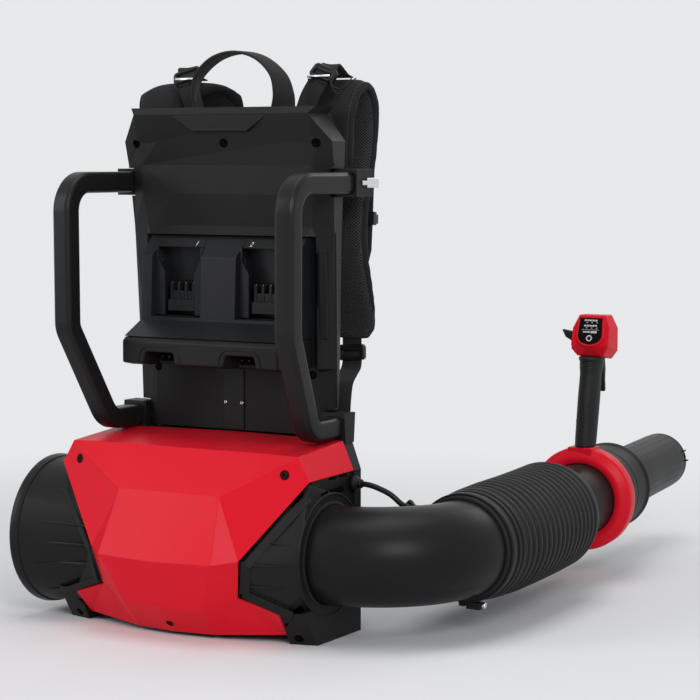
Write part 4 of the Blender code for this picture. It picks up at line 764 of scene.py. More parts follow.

# the shelf's two sockets are near-black blocks of painted shade in their recesses
sockets, pins, arches = [], [], []
for side in (1, -1):
    centre = 49 * side
    sockets.append(slab([(centre + x, 13, z) for x, z in ((-14, 270.5), (14, 270.5), (13, 280.4), (-13, 280.4))],
                        (0, 8.6, 0), 0.8))
    for x in (-9, 0, 9):
        pins.append(turned([(-3.5, 0), (-3.5, 1.4), (0, 1.4), (0.6, 0.9), (0.6, 0)], (centre + x, 9.6, 275.4),
                           (0, -1, 0), 16))
    arch = smooth_path([(centre + x, -10.2, z) for x, z in (
        (-25.5, 270.6), (-23.5, 279), (-19, 285.2), (-10, 287), (10, 287), (19, 285.2), (23.5, 279),
        (25.5, 270.6))], 5)
    arches.append(swept(path_places(arch, (0, -1, 0)), circle(0.9, 8)))
add_piece("shelf_sockets", gather(sockets), painted_shade_black, "gloss_black_plastic")
add_piece("shelf_pins", gather(pins), blackened_steel, "bright_steel", crease=35)
add_piece("shelf_arches", gather(arches), black, "black_plastic", crease=50)

# ---- Guard bars, their clamps and hooks
# Glass-filled nylon bars of a square section with a broad chamfer at the outer front corner. The upper end sits in
# a split clamp on the back plate, the lower end in a socket of the fan housing.


def rounded_path(points, radii, steps):
    """A bent bar's centre line: straight runs with an arc at each inner point."""
    points = [Vector(point) for point in points]
    route = [points[0]]
    for before, corner, after, radius in zip(points, points[1:], points[2:], radii):
        way_in = (corner - before).normalized()
        way_out = (after - corner).normalized()
        half_turn = way_in.angle(way_out) / 2
        start = corner - way_in * (radius * math.tan(half_turn))
        centre = corner + (way_out - way_in).normalized() * (radius / math.cos(half_turn))
        finish = corner + way_out * (radius * math.tan(half_turn))
        for step in range(steps + 1):
            spoke = (start - centre).normalized().slerp((finish - centre).normalized(), step / steps)
            route.append(centre + spoke.normalized() * radius)
    return route + [points[-1]]


bar_finish = moulded_finish("guard_bar_plastic", (0.009, 0.009, 0.0095), 0.34, 1300.0, 0.00004, 0.3)
for word, side in (("left", -1), ("right", 1)):
    outline = [(10.9, 6.4), (10.3, 7.6), (7.6, 10.3), (6.4, 10.9)]
    for corner_x, corner_y, first in ((-6, 6, 90), (-6, -6, 180), (6, -6, 270)):
        for step in range(6):
            x, y = at_angle(first + step * 18, 5)
            outline.append((corner_x + x, corner_y + y))
    line = rounded_path([(x * side, y, z) for x, y, z in ((133, 66, 455), (134, -52, 455), (133.3, -52, 306),
                                                          (123, 1, 207.2), (123, 57, 207.2))], (30, 26, 24), 12)
    bar = swept(path_places(line, (side, 0, 0)), [(x, y * side) for x, y in outline])
    add_piece(f"guard_bar_{word}_bar", bar, bar_finish, "black_plastic", f"guard_bar_{word}", crease=60, flat=True)
    shell_piece(f"bar_clamp_{word}", black, "black_plastic", 1.2)
    tab = [bar_between((x * side, y, 455), (x_end * side, y_end, 455), wide, high, (0, 0, 1), 0.2)
           for x, y, x_end, y_end, wide, high in ((149.1, 74, 149.1, 97, 3.0, 10), (138, 95.5, 150.4, 95.5, 3.0, 10),
                                                  (148.6, 66, 148.6, 75, 1.8, 4.5))]
    add_piece(f"bar_hook_{word}_tab", gather(tab), bright_steel, "bright_steel", f"bar_hook_{word}")
    seam = [Vector((133.1 * side, y, 455)) for y in (52.4, 54.0)]
    collar = swept(path_places(seam, (side, 0, 0)), [(x * 1.05, y * side * 1.05) for x, y in outline])
    add_piece(f"bar_collar_{word}", collar, black, "black_plastic")
    drain = turned([(-1.2, 0), (-1.2, 1.2), (0, 1.5), (0, 0.9), (-0.8, 0.8), (-0.8, 0)],
                   (122.3 * side, -52, 335), (-side, 0, 0), 16)
    add_piece(f"bar_hole_{word}", drain, gloss_black, "black_plastic", crease=40)

# ---- Harness webbing and buckles
# Black polyester webbing with a ribbed weave, threaded through acetal ladder locks. Each lock is a glossy moulded
# frame with cross bars, and the two upper ones have a bright steel rod besides.
tape_weave, given, made = add_group("tape_weave", [("Vector", "NodeSocketVector", None), ("Pitch", FLOAT, 0.0011)],
                                    [("Height", FLOAT), ("Painted Shade", FLOAT)])
parts = add_node(tape_weave, "ShaderNodeSeparateXYZ", {0: given.outputs["Vector"]})
along = math_node(tape_weave, "DIVIDE", parts.outputs["Y"], given.outputs["Pitch"])
across = math_node(tape_weave, "DIVIDE", parts.outputs["X"],
                   math_node(tape_weave, "MULTIPLY", given.outputs["Pitch"], 1.6))
zigzag = math_node(tape_weave, "MULTIPLY", math_node(tape_weave, "PINGPONG", across, 1.0), 0.5)


def wave(count):
    """A row of rounded threads, one to each whole number."""
    turn = math_node(tape_weave, "MULTIPLY", count, math.pi)
    return math_node(tape_weave, "ABSOLUTE", math_node(tape_weave, "SINE", turn))


height = math_node(tape_weave, "ADD", math_node(tape_weave, "MULTIPLY",
                                                wave(math_node(tape_weave, "ADD", along, zigzag)), 0.7),
                   math_node(tape_weave, "MULTIPLY", wave(across), 0.3))
tape_weave.links.new(height, made.inputs["Height"])
# the shade output darkens the weave's hollows against its raised threads: painted shade
tape_weave.links.new(math_node(tape_weave, "MULTIPLY_ADD", height, 0.6, 0.4), made.inputs["Painted Shade"])


def cloth_finish(name, roughness):
    """A new cloth material: itself, its tree, its shader, and the piece's own coordinates across and along it."""
    cloth, tree, shader = new_finish(name, {"Roughness": roughness, "Specular IOR Level": 0.12, "Sheen Weight": 0.05,
                                            "Sheen Roughness": 0.4})
    return cloth, tree, shader, add_node(tree, "ShaderNodeUVMap", uv_map="weave").outputs["UV"]


def webbing_finish(name, pitch):
    """Webbing. Pitch is the distance between its ribs, in metres."""
    cloth, tree, shader, coordinates = cloth_finish(name, 0.75)
    weave = add_node(tree, "ShaderNodeGroup", {"Pitch": pitch, "Vector": coordinates}, node_tree=tape_weave)
    # the webbing is painted darker in the weave's hollows: painted shade
    shade = mix_colours(tree, weave.outputs["Painted Shade"], (0.004, 0.004, 0.004, 1.0), (0.028, 0.028, 0.029, 1.0))
    tree.links.new(shade, shader.inputs["Base Color"])
    add_bump(tree, shader, weave.outputs["Height"], 0.00035)
    return cloth


webbing_black = webbing_finish("black_webbing", 0.0011)


def weave_map(shape, path, across):
    """Give a piece its own coordinates, in metres: across and along its path, and its height over it."""
    finder = KDTree(len(path))
    along = [0.0]
    for index, point in enumerate(path):
        finder.insert(point * MM, index)
        along.append(along[-1] + (path[min(index + 1, len(path) - 1)] - point).length * MM)
    finder.balance()
    weave = shape.loops.layers.uv.new("weave")
    rise = shape.loops.layers.uv.new("rise")
    for spot in shape.verts:
        index = finder.find(spot.co)[1]
        way, side = way_at(path, across, index)
        way = way.normalized()
        out = way.cross(Vector(side)).normalized()
        offset = spot.co - path[index] * MM
        place = (offset.dot(out.cross(way)), along[index] + offset.dot(way))
        for loop in spot.link_loops:
            loop[weave].uv = place
            loop[rise].uv = (offset.dot(out), 0)


def strap(name, path, across, width, thickness, *nodes):
    """A length of webbing along a path in millimetres, with rounded selvedges."""
    half, deep = width / 2, thickness / 2
    selvedge = [(half, 0), (half - deep * 0.3, deep * 0.7), (half - deep, deep)]
    outline = selvedge + [(0, deep)] + [(-x, y) for x, y in selvedge[::-1]]
    outline += [(-x, -y) for x, y in selvedge[1:]] + [(0, -deep)] + [(x, -y) for x, y in selvedge[:0:-1]]
    shape = swept(path_places(path, across), outline)
    weave_map(shape, path, across)
    return add_piece(name, shape, webbing_black, "black_webbing", *nodes, crease=60)


buckle_finish = moulded_finish("buckle_plastic", (0.010, 0.010, 0.0105), 0.25, 2400.0, 0.00001, 0.6, coat=0.2)
BUCKLE_ROD, BUCKLE_CORNER, BUCKLE_CHAMFER = 1.8, 2.4, 0.8


def buckle_frame(name, centre, way, across, size, bars, node):
    """A buckle's rounded frame round a window, with cross bars over and under the webbing, in millimetres."""
    half, high = size[0] / 2 - BUCKLE_ROD, size[2] / 2 - BUCKLE_ROD
    loop = []
    for (x, y), first in zip(((half, -high), (half, high), (-half, high), (-half, -high)), (-90, 0, 90, 180)):
        for step in range(5):
            angle = math.radians(first + step * 22.5)
            loop.append((x - math.copysign(BUCKLE_CORNER, x) + BUCKLE_CORNER * math.cos(angle),
                         y - math.copysign(BUCKLE_CORNER, y) + BUCKLE_CORNER * math.sin(angle)))
    thick, deep = BUCKLE_ROD, size[1] / 2
    section = [(thick, deep - BUCKLE_CHAMFER), (thick - BUCKLE_CHAMFER, deep)]
    section += [(-x, y) for x, y in section[::-1]]
    section += [(x, -y) for x, y in section[::-1]]
    rim = bmesh.new()
    rings = []
    for index, (x, y) in enumerate(loop):
        before, after = loop[index - 1], loop[(index + 1) % len(loop)]
        out = Vector((after[1] - before[1], before[0] - after[0])).normalized()
        rings.append([rim.verts.new((x + out.x * a, b, y + out.y * a)) for a, b in section])
    for first, second in zip(rings, rings[1:] + rings[:1]):
        for index in range(len(first)):
            following = (index + 1) % len(first)
            rim.faces.new((first[index], first[following], second[following], second[index]))
    for y, z in bars:
        bar = bmesh.ops.create_cube(rim, size=1.0)["verts"]
        bar_place = Matrix.Translation((0, y, z)) @ Matrix.Diagonal((2 * half, 1.3, 3.4, 1.0))
        bmesh.ops.transform(rim, matrix=bar_place, verts=bar)
        edges = [edge for edge in rim.edges if edge.verts[0] in bar and edge.verts[1] in bar]
        bmesh.ops.bevel(rim, geom=edges, offset=0.4, affect="EDGES", segments=2, profile=0.5, material=-1)
    bmesh.ops.recalc_face_normals(rim, faces=rim.faces)
    bmesh.ops.transform(rim, matrix=stand(centre, way, across), verts=rim.verts)
    add_piece(name, rim, buckle_finish, "gloss_black_plastic", node, crease=45)


LOCK_CENTRE = Vector((84.5, 99.0, 566.5))
LOCK_WAY = Vector((0.36, 0.52, 0.78)).normalized()
for word, side in (("left", -1), ("right", 1)):
    mirror = Vector((side, 1, 1))
    low, high = LOCK_CENTRE - LOCK_WAY * 10, LOCK_CENTRE + LOCK_WAY * 10
    lifter = [(62, 88.2, 480), (64, 88.4, 512), (72, 89, 540), low - LOCK_WAY * 3, low, high, (89, 107.5, 574.5),
              (90, 113.5, 570), (90.5, 120, 565.8), (90.5, 129, 563.6)]
    strap(f"lifter_strap_{word}_webbing", smooth_path([Vector(spot) * mirror for spot in lifter], 6), (side, 0, 0),
          23, 1.6, f"lifter_strap_{word}")
    buckle_frame(f"ladder_lock_{word}_frame", LOCK_CENTRE * mirror, LOCK_WAY * mirror, (side, 0, 0), (31, 8, 16),
                 ((2.6, -3.4), (-2.6, 3.4)), f"ladder_lock_{word}")
    # a glossy cross rod shows along the lock's lower edge
    rod_spot = LOCK_CENTRE - LOCK_WAY * 6.6 - LOCK_WAY.cross(Vector((1, 0, 0))).normalized() * 4.4
    rod = turned([(-13.5, 0), (-13.5, 1.1), (-13, 1.5), (13, 1.5), (13.5, 1.1), (13.5, 0)], rod_spot * mirror,
                 (1, 0, 0), 20)
    add_piece(f"ladder_lock_{word}_rod", rod, bright_steel, "bright_steel", crease=40)
    lower = [(91.6, 143.2, 299), (92.0, 143.6, 290), (92.4, 143.2, 282), (93.2, 142.0, 269), (95.5, 135, 260),
             (100, 119, 254), (105, 103, 247), (107.5, 95, 232), (108, 92, 212), (108, 90.5, 190)]
    strap(f"lower_strap_{word}_webbing", smooth_path([Vector(spot) * mirror for spot in lower], 6), (side, 0, 0),
          23, 1.6, f"lower_strap_{word}")
    buckle_frame(f"lower_buckle_{word}_frame", (92.7 * side, 142.6, 276), (-0.9 * side, 1.1, 13), (side, 0, 0),
                 (31, 7, 17), ((2.4, -3.6), (-2.4, 3.6)), f"lower_buckle_{word}")
    rail = [(108, 151.5, 482), (109, 152.5, 468), (109.5, 149.8, 440), (110, 147, 412), (110, 144.5, 384),
            (109, 139.5, 370)]
    rail_line = [Vector(spot) * mirror for spot in rail]
    rail_dense = [a.lerp(b, step / 4) for a, b in zip(rail_line, rail_line[1:]) for step in range(4)]
    rail_dense.append(rail_line[-1])
    strap(f"chest_rail_{word}_webbing", rail_dense, (side, 0, 0), 10, 1.6, f"chest_rail_{word}")
    shell_piece(f"chest_slider_{word}", buckle_finish, "gloss_black_plastic", 0.7, 20, ending="_clip")

# The carrying handle is a broad webbing loop, each foot turned half way towards the front
carry = smooth_path([(-54.5, 67, 529.5), (-55, 67, 546), (-48, 67, 566), (-27, 67, 583), (0, 67, 589), (27, 67, 583),
                     (48, 67, 566), (55, 67, 546), (54.5, 67, 529.5)], 8)
twists = []
for index in range(len(carry)):
    share = abs(2 * index / (len(carry) - 1) - 1)
    angle = math.radians(45) * share ** 2 * (1 if index > len(carry) / 2 else -1)
    twists.append(Vector((math.sin(angle), math.cos(angle), 0)))
strap("carry_handle_webbing", carry, twists, 26, 3.0, "carry_handle")

# Two thin elastic keepers hang in a loop beside the right ladder lock
for index, (drop, reach) in enumerate(((17, 25), (12, 31))):
    keeper = smooth_path([(x, y - index, z) for x, y, z in (
        (97, 90.5, 562), (100, 88.8, 562 - drop * 0.6), (97 + reach * 0.45, 88.5, 562 - drop),
        (97 + reach * 0.8, 88.8, 562 - drop * 0.5), (97 + reach, 90.5, 561))], 6)
    loop = swept(path_places(keeper, (0, 1, 0)), circle(0.7, 10))
    elastic = add_piece(f"elastic_keeper_{index + 1}", loop, jacket, "black_webbing", crease=60)
    line = [point * MM for point in keeper]

# ---- Shoulder straps and back pad
# Foam pads: spacer mesh with staggered holes on the wearer's side, woven polyester outside, and a binding tape
# stitched round the edge. Each is blown up as cloth from a slightly slack shape, then its channels are drawn in.
hole_group, given, made = add_group("spacer_mesh", [("Vector", "NodeSocketVector", None)], [("Hole", FLOAT)])
lattice = add_node(hole_group, "ShaderNodeMapping", {
    "Rotation": (0, 0, math.radians(45)), "Scale": (400.0, 480.0, 1.0), "Vector": given.outputs["Vector"]})
cells = add_node(hole_group, "ShaderNodeTexVoronoi", {"Scale": 1.0, "Randomness": 0.0, "Vector": lattice.outputs[0]},
                 voronoi_dimensions="2D")
edge = add_node(hole_group, "ShaderNodeMapRange", {"From Min": 0.26, "From Max": 0.44, "To Min": 1.0, "To Max": 0.0,
                                                   "Value": cells.outputs["Distance"]},
                interpolation_type="SMOOTHSTEP")
hole_group.links.new(edge.outputs["Result"], made.inputs["Hole"])


def pad_finish(name, band):
    """Pad cloth. Band is the distance from the middle, in metres, where the binding tape starts."""
    cloth, tree, shader, coordinates = cloth_finish(name, 0.85)
    rise = add_node(tree, "ShaderNodeUVMap", uv_map="rise").outputs["UV"]
    height = add_node(tree, "ShaderNodeSeparateXYZ", {0: rise}).outputs["X"]
    place = add_node(tree, "ShaderNodeSeparateXYZ", {0: coordinates})
    offset = math_node(tree, "ABSOLUTE", place.outputs["X"])
    wearer_side = math_node(tree, "GREATER_THAN", height, 0.0)
    mesh_area = math_node(tree, "MULTIPLY", wearer_side, math_node(tree, "LESS_THAN", offset, band))
    holes = add_node(tree, "ShaderNodeGroup", {"Vector": coordinates}, node_tree=hole_group)
    hole = math_node(tree, "MULTIPLY", holes.outputs["Hole"], mesh_area)
    weave = add_node(tree, "ShaderNodeGroup", {"Pitch": 0.0007, "Vector": coordinates}, node_tree=tape_weave)
    from_band = math_node(tree, "ABSOLUTE", math_node(tree, "SUBTRACT", offset, band))
    stitch_count = math_node(tree, "MULTIPLY", place.outputs["Y"], 300.0)
    dashes = math_node(tree, "GREATER_THAN", math_node(tree, "FRACT", stitch_count), 0.3)
    stitch = math_node(tree, "MULTIPLY", math_node(tree, "LESS_THAN", from_band, 0.0006), dashes)
    # the cloth is painted darker in the weave's hollows: painted shade
    cloth_shade = mix_colours(tree, weave.outputs["Painted Shade"], (0.007, 0.007, 0.0075, 1.0), (0.019, 0.019, 0.020, 1.0))
    knit_shade = mix_colours(tree, mesh_area, cloth_shade, (0.055, 0.055, 0.057, 1.0))
    # the spacer mesh's holes are painted near-black: painted shade inside them
    holed = mix_colours(tree, hole, knit_shade, (0.0015, 0.0015, 0.0015, 1.0))
    tree.links.new(mix_colours(tree, stitch, holed, (0.045, 0.045, 0.047, 1.0)), shader.inputs["Base Color"])
    bumps = math_node(tree, "SUBTRACT", math_node(tree, "MULTIPLY_ADD", weave.outputs["Height"], 0.12, 1.0), hole)
    add_bump(tree, shader, math_node(tree, "ADD", bumps, math_node(tree, "MULTIPLY", stitch, 0.5)), 0.0011)
    return cloth


def stuffed(shape, voxel, cap):
    """Fill a slack cushion: remesh it evenly, blow it up as cloth, and let no point move past the cap, in metres."""
    cushion = put_in_scene("cushion", mesh_of("cushion", shape))
    even = cushion.modifiers.new("even", "REMESH")
    even.mode = "VOXEL"
    even.voxel_size = voxel
    remeshed = as_drawn(cushion)
    cushion.modifiers.clear()
    cushion.data = remeshed
    filling = cushion.modifiers.new("filling", "CLOTH")
    filling.settings.use_pressure = True
    filling.settings.uniform_pressure_force = 4.0
    filling.settings.effector_weights.gravity = 0.0
    for moment in range(1, 21):
        bpy.context.scene.frame_set(moment)
    blown = as_drawn(cushion)
    cushion.modifiers.clear()
    for spot, swollen in zip(cushion.data.vertices, blown.vertices):
        move = swollen.co - spot.co
        spot.co += move * min(1.0, cap / max(move.length, 1e-9))
    bpy.context.scene.frame_set(1)
    smooth = cushion.modifiers.new("smooth", "SUBSURF")
    smooth.levels = smooth.render_levels = 1
    filled = shape_from(as_drawn(cushion))
    bpy.data.objects.remove(cushion)
    return filled


def draw_in(shape, depth_at):
    """Press the surface in along its normals by a depth, in millimetres, read from each point's own coordinates."""
    weave, rise = shape.loops.layers.uv["weave"], shape.loops.layers.uv["rise"]
    shape.normal_update()
    moves = []
    for spot in shape.verts:
        across, along = spot.link_loops[0][weave].uv / MM
        moves.append(spot.normal * (-MM * depth_at(across, along, spot.link_loops[0][rise].uv.x / MM)))
    for spot, move in zip(shape.verts, moves):
        spot.co += move


PAD_ROUTE = [(85, 101, 434), (85, 101, 466), (86, 102, 500), (87, 104.5, 530), (88, 113, 548), (88, 126, 555),
             (89, 139, 548), (89, 147, 529), (90, 144, 496), (90, 135, 460), (90, 123, 424), (90, 124, 380),
             (91, 135, 341), (92, 146, 308), (92, 144, 290)]
pad_line = smooth_path(PAD_ROUTE, 5)
sizes = []
for index in range(len(pad_line)):
    share = index / (len(pad_line) - 1)
    wide = 1.0 - 0.42 * max(0.0, (share - 0.82) / 0.18) ** 2 - 0.35 * max(0.0, (0.1 - share) / 0.1)
    thick = 1.0 - 0.45 * max(0.0, (share - 0.86) / 0.14) ** 2 - 0.5 * max(0.0, (0.1 - share) / 0.1)
    sizes.append((wide, thick))
section = [(math.copysign(abs(math.cos(angle)) ** 0.55, math.cos(angle)) * 35.0,
            math.copysign(abs(math.sin(angle)) ** 0.7, math.sin(angle)) * 7.2)
           for angle in [math.tau * (step + 0.5) / 32 for step in range(32)]]
pad = stuffed(swept(path_places(pad_line, (1, 0, 0), sizes), section), 0.0045, 0.0019)
weave_map(pad, pad_line, (1, 0, 0))
draw_in(pad, lambda across, along, rise: 1.8 * math.exp(-((abs(across) - 28.5) / 1.7) ** 2))
strap_cloth = pad_finish("strap_pad_cloth", 0.0285)
mirrored_pad = pad.copy()
bmesh.ops.scale(mirrored_pad, vec=(-1, 1, 1), verts=mirrored_pad.verts)
bmesh.ops.reverse_faces(mirrored_pad, faces=mirrored_pad.faces)
# the left strap twists where it turns over the wearer's shoulder: its near side hangs out, its far side in
for spot in mirrored_pad.verts:
    share = min(1.0, max(0.0, (spot.co.z - 0.46) / 0.085))
    behind = min(1.0, max(-1.0, (spot.co.y - 0.126) / 0.018))
    spot.co.x += (0.022 * behind - 0.010) * share * share * (3 - 2 * share)
for word, shape in (("right", pad), ("left", mirrored_pad)):
    shoulder = add_piece(f"shoulder_pad_{word}_cushion", shape, strap_cloth, "black_fabric", f"shoulder_pad_{word}",
                         crease=179)

BACK_OF_PAD = 87.2
back_shape = bmesh.new()
bmesh.ops.create_grid(back_shape, x_segments=24, y_segments=40, size=1.0)
front_faces = back_shape.faces[:]
for spot in back_shape.verts:
    u, v = spot.co.x, spot.co.y
    edge_share = max(0.0, 1 - abs(u) ** 6) * max(0.0, 1 - abs(v) ** 10)
    drawn = 1 - 0.05 * (1 - v * v) - 0.08 * abs(v) ** 8
    spot.co = Vector((u * 84.6 * drawn, 91.0 + 6.6 * edge_share ** 0.5, 313 + v * 105.6)) * MM
back_grown = bmesh.ops.extrude_face_region(back_shape, geom=front_faces)["geom"]
for spot in verts_in(back_grown):
    spot.co.y = BACK_OF_PAD * MM
bmesh.ops.recalc_face_normals(back_shape, faces=back_shape.faces)
back_cushion = stuffed(back_shape, 0.005, 0.0018)
for spot in back_cushion.verts:
    spot.co.y = max(spot.co.y, 0.0867)
spine = [Vector((0, 90, 206 + step * 214 / 40)) for step in range(41)]
weave_map(back_cushion, spine, (1, 0, 0))
draw_in(back_cushion, lambda across, along, rise: (0.0 if rise < 1 else 3.0 * max(
    math.exp(-((along - line) / 3.4) ** 2) for line in (53.5, 107, 160.5)) * max(0.0, 1 - abs(across / 84) ** 6)))
back_piece = add_piece("back_pad_cushion", back_cushion, pad_finish("back_pad_cloth", 0.074), "black_fabric",
                       "back_pad", crease=179)

# ---- Elbow
# A smooth satin moulding that turns in the housing's outlet, with a faint parting line and a lug for the cable.
# The bore, seen only past the tube's far end, is the same wall's inner face.
elbow_black = moulded_finish("elbow_plastic", (0.0085, 0.0085, 0.009), 0.34, 1100.0, 0.00005, 0.15, specular=0.12)
ELBOW_RADIUS, ELBOW_WALL = 49.7, 3.0


def from_station(start, profile):
    """A profile whose distances are measured from one station of the hose's centre line."""
    return [(start + distance, radius) for distance, radius in profile]


def hose_shell(outer, inner, sides=96):
    """A tube round the hose's centre line, from (station, radius) pairs of its outer and inner face."""
    return swept([on_hose(station, radius) for station, radius in outer + inner[::-1]], circle(1.0, sides),
                 joined=True)


stations = [0.8 + (ELBOW_END - 1.6) * step / 44 for step in range(45)]
elbow_outer = [(0, ELBOW_RADIUS - 0.8)] + [(station, ELBOW_RADIUS) for station in stations]
elbow_outer.append((ELBOW_END, ELBOW_RADIUS - 0.8))
elbow_inner = [(station, ELBOW_RADIUS - ELBOW_WALL) for station in [0] + stations + [ELBOW_END]]
add_piece("elbow_shell", hose_shell(elbow_outer, elbow_inner), elbow_black, "gloss_black_plastic", "elbow_tube",
          body="elbow", crease=50)
outward = ELBOW_CLIP - Vector((247, 64, FAN_HEIGHT))
outward = (outward - CLIP_WAY * outward.dot(CLIP_WAY)).normalized()
lug = bar_between(ELBOW_CLIP + outward * 5.5, ELBOW_CLIP - outward * 12.5, 11, 2 * LUG_HALF, CLIP_WAY, 0.2)
add_piece("elbow_lug", lug, elbow_black, "gloss_black_plastic", body="elbow")
parting = []
for turn in (-38, 142):
    line = [beside_hose(6 + (BELLOWS_START - 8) * step / 60, *at_angle(turn, ELBOW_RADIUS - 0.05))
            for step in range(61)]
    parting.append(swept(path_places(line, (0, 0, 1)), circle(0.22, 6)))
add_piece("elbow_parting_lines", gather(parting), elbow_black, "gloss_black_plastic", body="elbow", crease=60)
# The dark soft seal that the elbow turns in
seal = turned([(148.2, 50.2), (148.2, 53.6), (150.6, 53.6), (151.2, 52.8), (151.2, 50.4)], (0, 0, FAN_HEIGHT),
              (1, 0, 0), 96)
rubber = moulded_finish("black_rubber", (0.010, 0.010, 0.0105), 0.52, 900.0, 0.00005, 0.3)
add_piece("outlet_seal", seal, rubber, "black_rubber", crease=50)

# ---- Ribbed hose and its band clamp
# One rubber moulding: a smooth cuff with two beads, two broad bands and a run of narrow round ribs. It stretches
# over the elbow and the front tube, and a plastic band with a screw under it grips its near end.
RIB_COUNT = 16
first, last = BELLOWS_START + 36.5, BELLOWS_END - 8
pitch = (last - first) / RIB_COUNT
hose_outer = from_station(BELLOWS_START, [
    (0, 52.0), (0.6, 53.0), (3.2, 53.6), (14, 53.8), (14.4, 55.3), (16.6, 55.4), (17, 53.9), (19, 54.0),
    (19.5, 56.3), (24.0, 56.9), (24.6, 55.0), (26.4, 55.0), (27, 57.3), (33.4, 58.0), (34, 55.4)])
rib_profile = ((0.0, 3.2), (0.05, 1.1), (0.14, 0.35), (0.28, 0.0), (0.46, 0.0), (0.60, 0.35), (0.70, 1.2),
               (0.75, 3.4), (0.80, 4.3), (0.93, 4.3))
for index in range(RIB_COUNT):
    grown = min(1.0, 0.6 + index / 8)
    crest = 56.5 + 3.3 * grown
    start = first + pitch * index
    hose_outer += [(start + pitch * share, crest - drop) for share, drop in rib_profile]
hose_outer += [(last + 0.4, 57.6), (last + 2, 57.2), (BELLOWS_END - 0.9, 57.0), (BELLOWS_END, 56.2)]
TUBE_START = BELLOWS_END - 12
hose_inner = [(BELLOWS_START, 50.0), (ELBOW_END + GAP, 50.0)]
hose_inner += [(ELBOW_END + 3 + (TUBE_START - ELBOW_END - 6) * step / 12, 52.2) for step in range(13)]
hose_inner += [(TUBE_START - GAP, 41.3), (BELLOWS_END, 41.3)]
bellows = add_piece("bellows_hose", hose_shell(hose_outer, hose_inner), rubber, "black_rubber", "bellows", body=None,
                    crease=60)
swing_start, swing_end = hose_point(ELBOW_END + 3)[0] * MM, hose_point(BELLOWS_END - 12)[0] * MM
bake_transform(bellows)
band_start = BELLOWS_START + 4
band = hose_shell(from_station(band_start, [(0, 55.4), (0.8, 56.0), (8.2, 56.0), (9, 55.4)]),
                  from_station(band_start, [(0, 54.0), (9, 54.0)]))
add_piece("hose_clamp_band", band, black, "black_plastic", "hose_clamp", body="elbow", crease=40)
clamp_y = hose_point(band_start)[0].y
boss = [box((250, clamp_y, 25), (266, clamp_y + 9, 32.4), 1.0),
        box((241, clamp_y + 1, 27), (248.4, clamp_y + 8, 32.2), 1.0)]
add_piece("hose_clamp_boss", gather(boss), black, "black_plastic", body="elbow")
screw_head = turned([(0, 0), (0, 1.6), (1.2, 1.6), (1.2, 3.2), (3.2, 3.4), (3.8, 3.0), (4, 2.2), (4, 1.6),
                     (2.8, 1.5), (2.8, 0)], (266 + GAP, clamp_y + 4.5, 29.5), (1, 0, 0), 24)
add_piece("clamp_screw_head", screw_head, bright_steel, "bright_steel", "clamp_screw", body="elbow", crease=40)

# ---- Front tube and its flange
# A satin tube that plugs into the hose, swells to a socket behind the red ring and ends in a dished collar. A flat
# rail under it guides the ring, and a lug carries the cable.
SOCKET_START = RING_STATION + 17
tube_outer = [(TUBE_START, 40.6), (TUBE_START + 1, 41.0)]
tube_outer += from_station(SOCKET_START, [
    (-22, 41.0), (-0.6, 41.0), (-0.4, 44.5), (0.6, 48.4), (1.6, 49.0), (16, 49.0), (16.4, 48.4), (17.6, 48.4),
    (18, 49.0), (34, 49.0), (34.4, 48.3), (36.2, 48.3), (36.6, 49.0)])
tube_outer += from_station(FLANGE_STATION, [(-12, 49.0), (-9, 49.3), (-5.6, 50.6), (-4.4, 51.0), (-0.7, 51.0),
                                            (0, 50.4)])
tube_inner = [(TUBE_START, 38.5)]
tube_inner += from_station(FLANGE_STATION - 12, [(-36, 38.5), (-30, 36.2), (0, 36.2), (0, 38.5)])
tube_inner += [(SOCKET_START + 5, 41), (SOCKET_START + 5, 46.5), (FLANGE_STATION - 9, 46.5), (FLANGE_STATION, 48.5)]
tube_black = moulded_finish("tube_plastic", (0.009, 0.009, 0.0095), 0.40, 1300.0, 0.00004, 0.25, specular=0.09)
add_piece("front_tube_shell", hose_shell(tube_outer, tube_inner), tube_black, "black_plastic", "front_tube",
          body="front_hose", crease=35)

RAIL_WIDE, RAIL_HIGH, RAIL_LONG = 6, 2.3, SOCKET_START - BELLOWS_END - 5
rail_place = facing_place(hose_point(BELLOWS_END + 4)[0], TUBE_WAY) @ Matrix.Rotation(math.radians(215), 4, "Z")
rail_sizes = Matrix.Diagonal((RAIL_WIDE, RAIL_HIGH, RAIL_LONG, 1))
rail_bar = rounded_cube(rail_place @ Matrix.Translation((0, 40.4 + RAIL_HIGH / 2, RAIL_LONG / 2)) @ rail_sizes, 0.5)
add_piece("tube_rail", rail_bar, tube_black, "black_plastic", body="front_hose")
tube_out_way = TUBE_CLIP - hose_point(BELLOWS_END + 30)[0]
tube_out_way = (tube_out_way - TUBE_WAY * tube_out_way.dot(TUBE_WAY)).normalized()
tube_lug = bar_between(TUBE_CLIP + tube_out_way * 5.5, TUBE_CLIP - tube_out_way * 19, 11, 2 * LUG_HALF, TUBE_WAY, 0.2)
add_piece("tube_lug", tube_lug, tube_black, "black_plastic", body="front_hose")

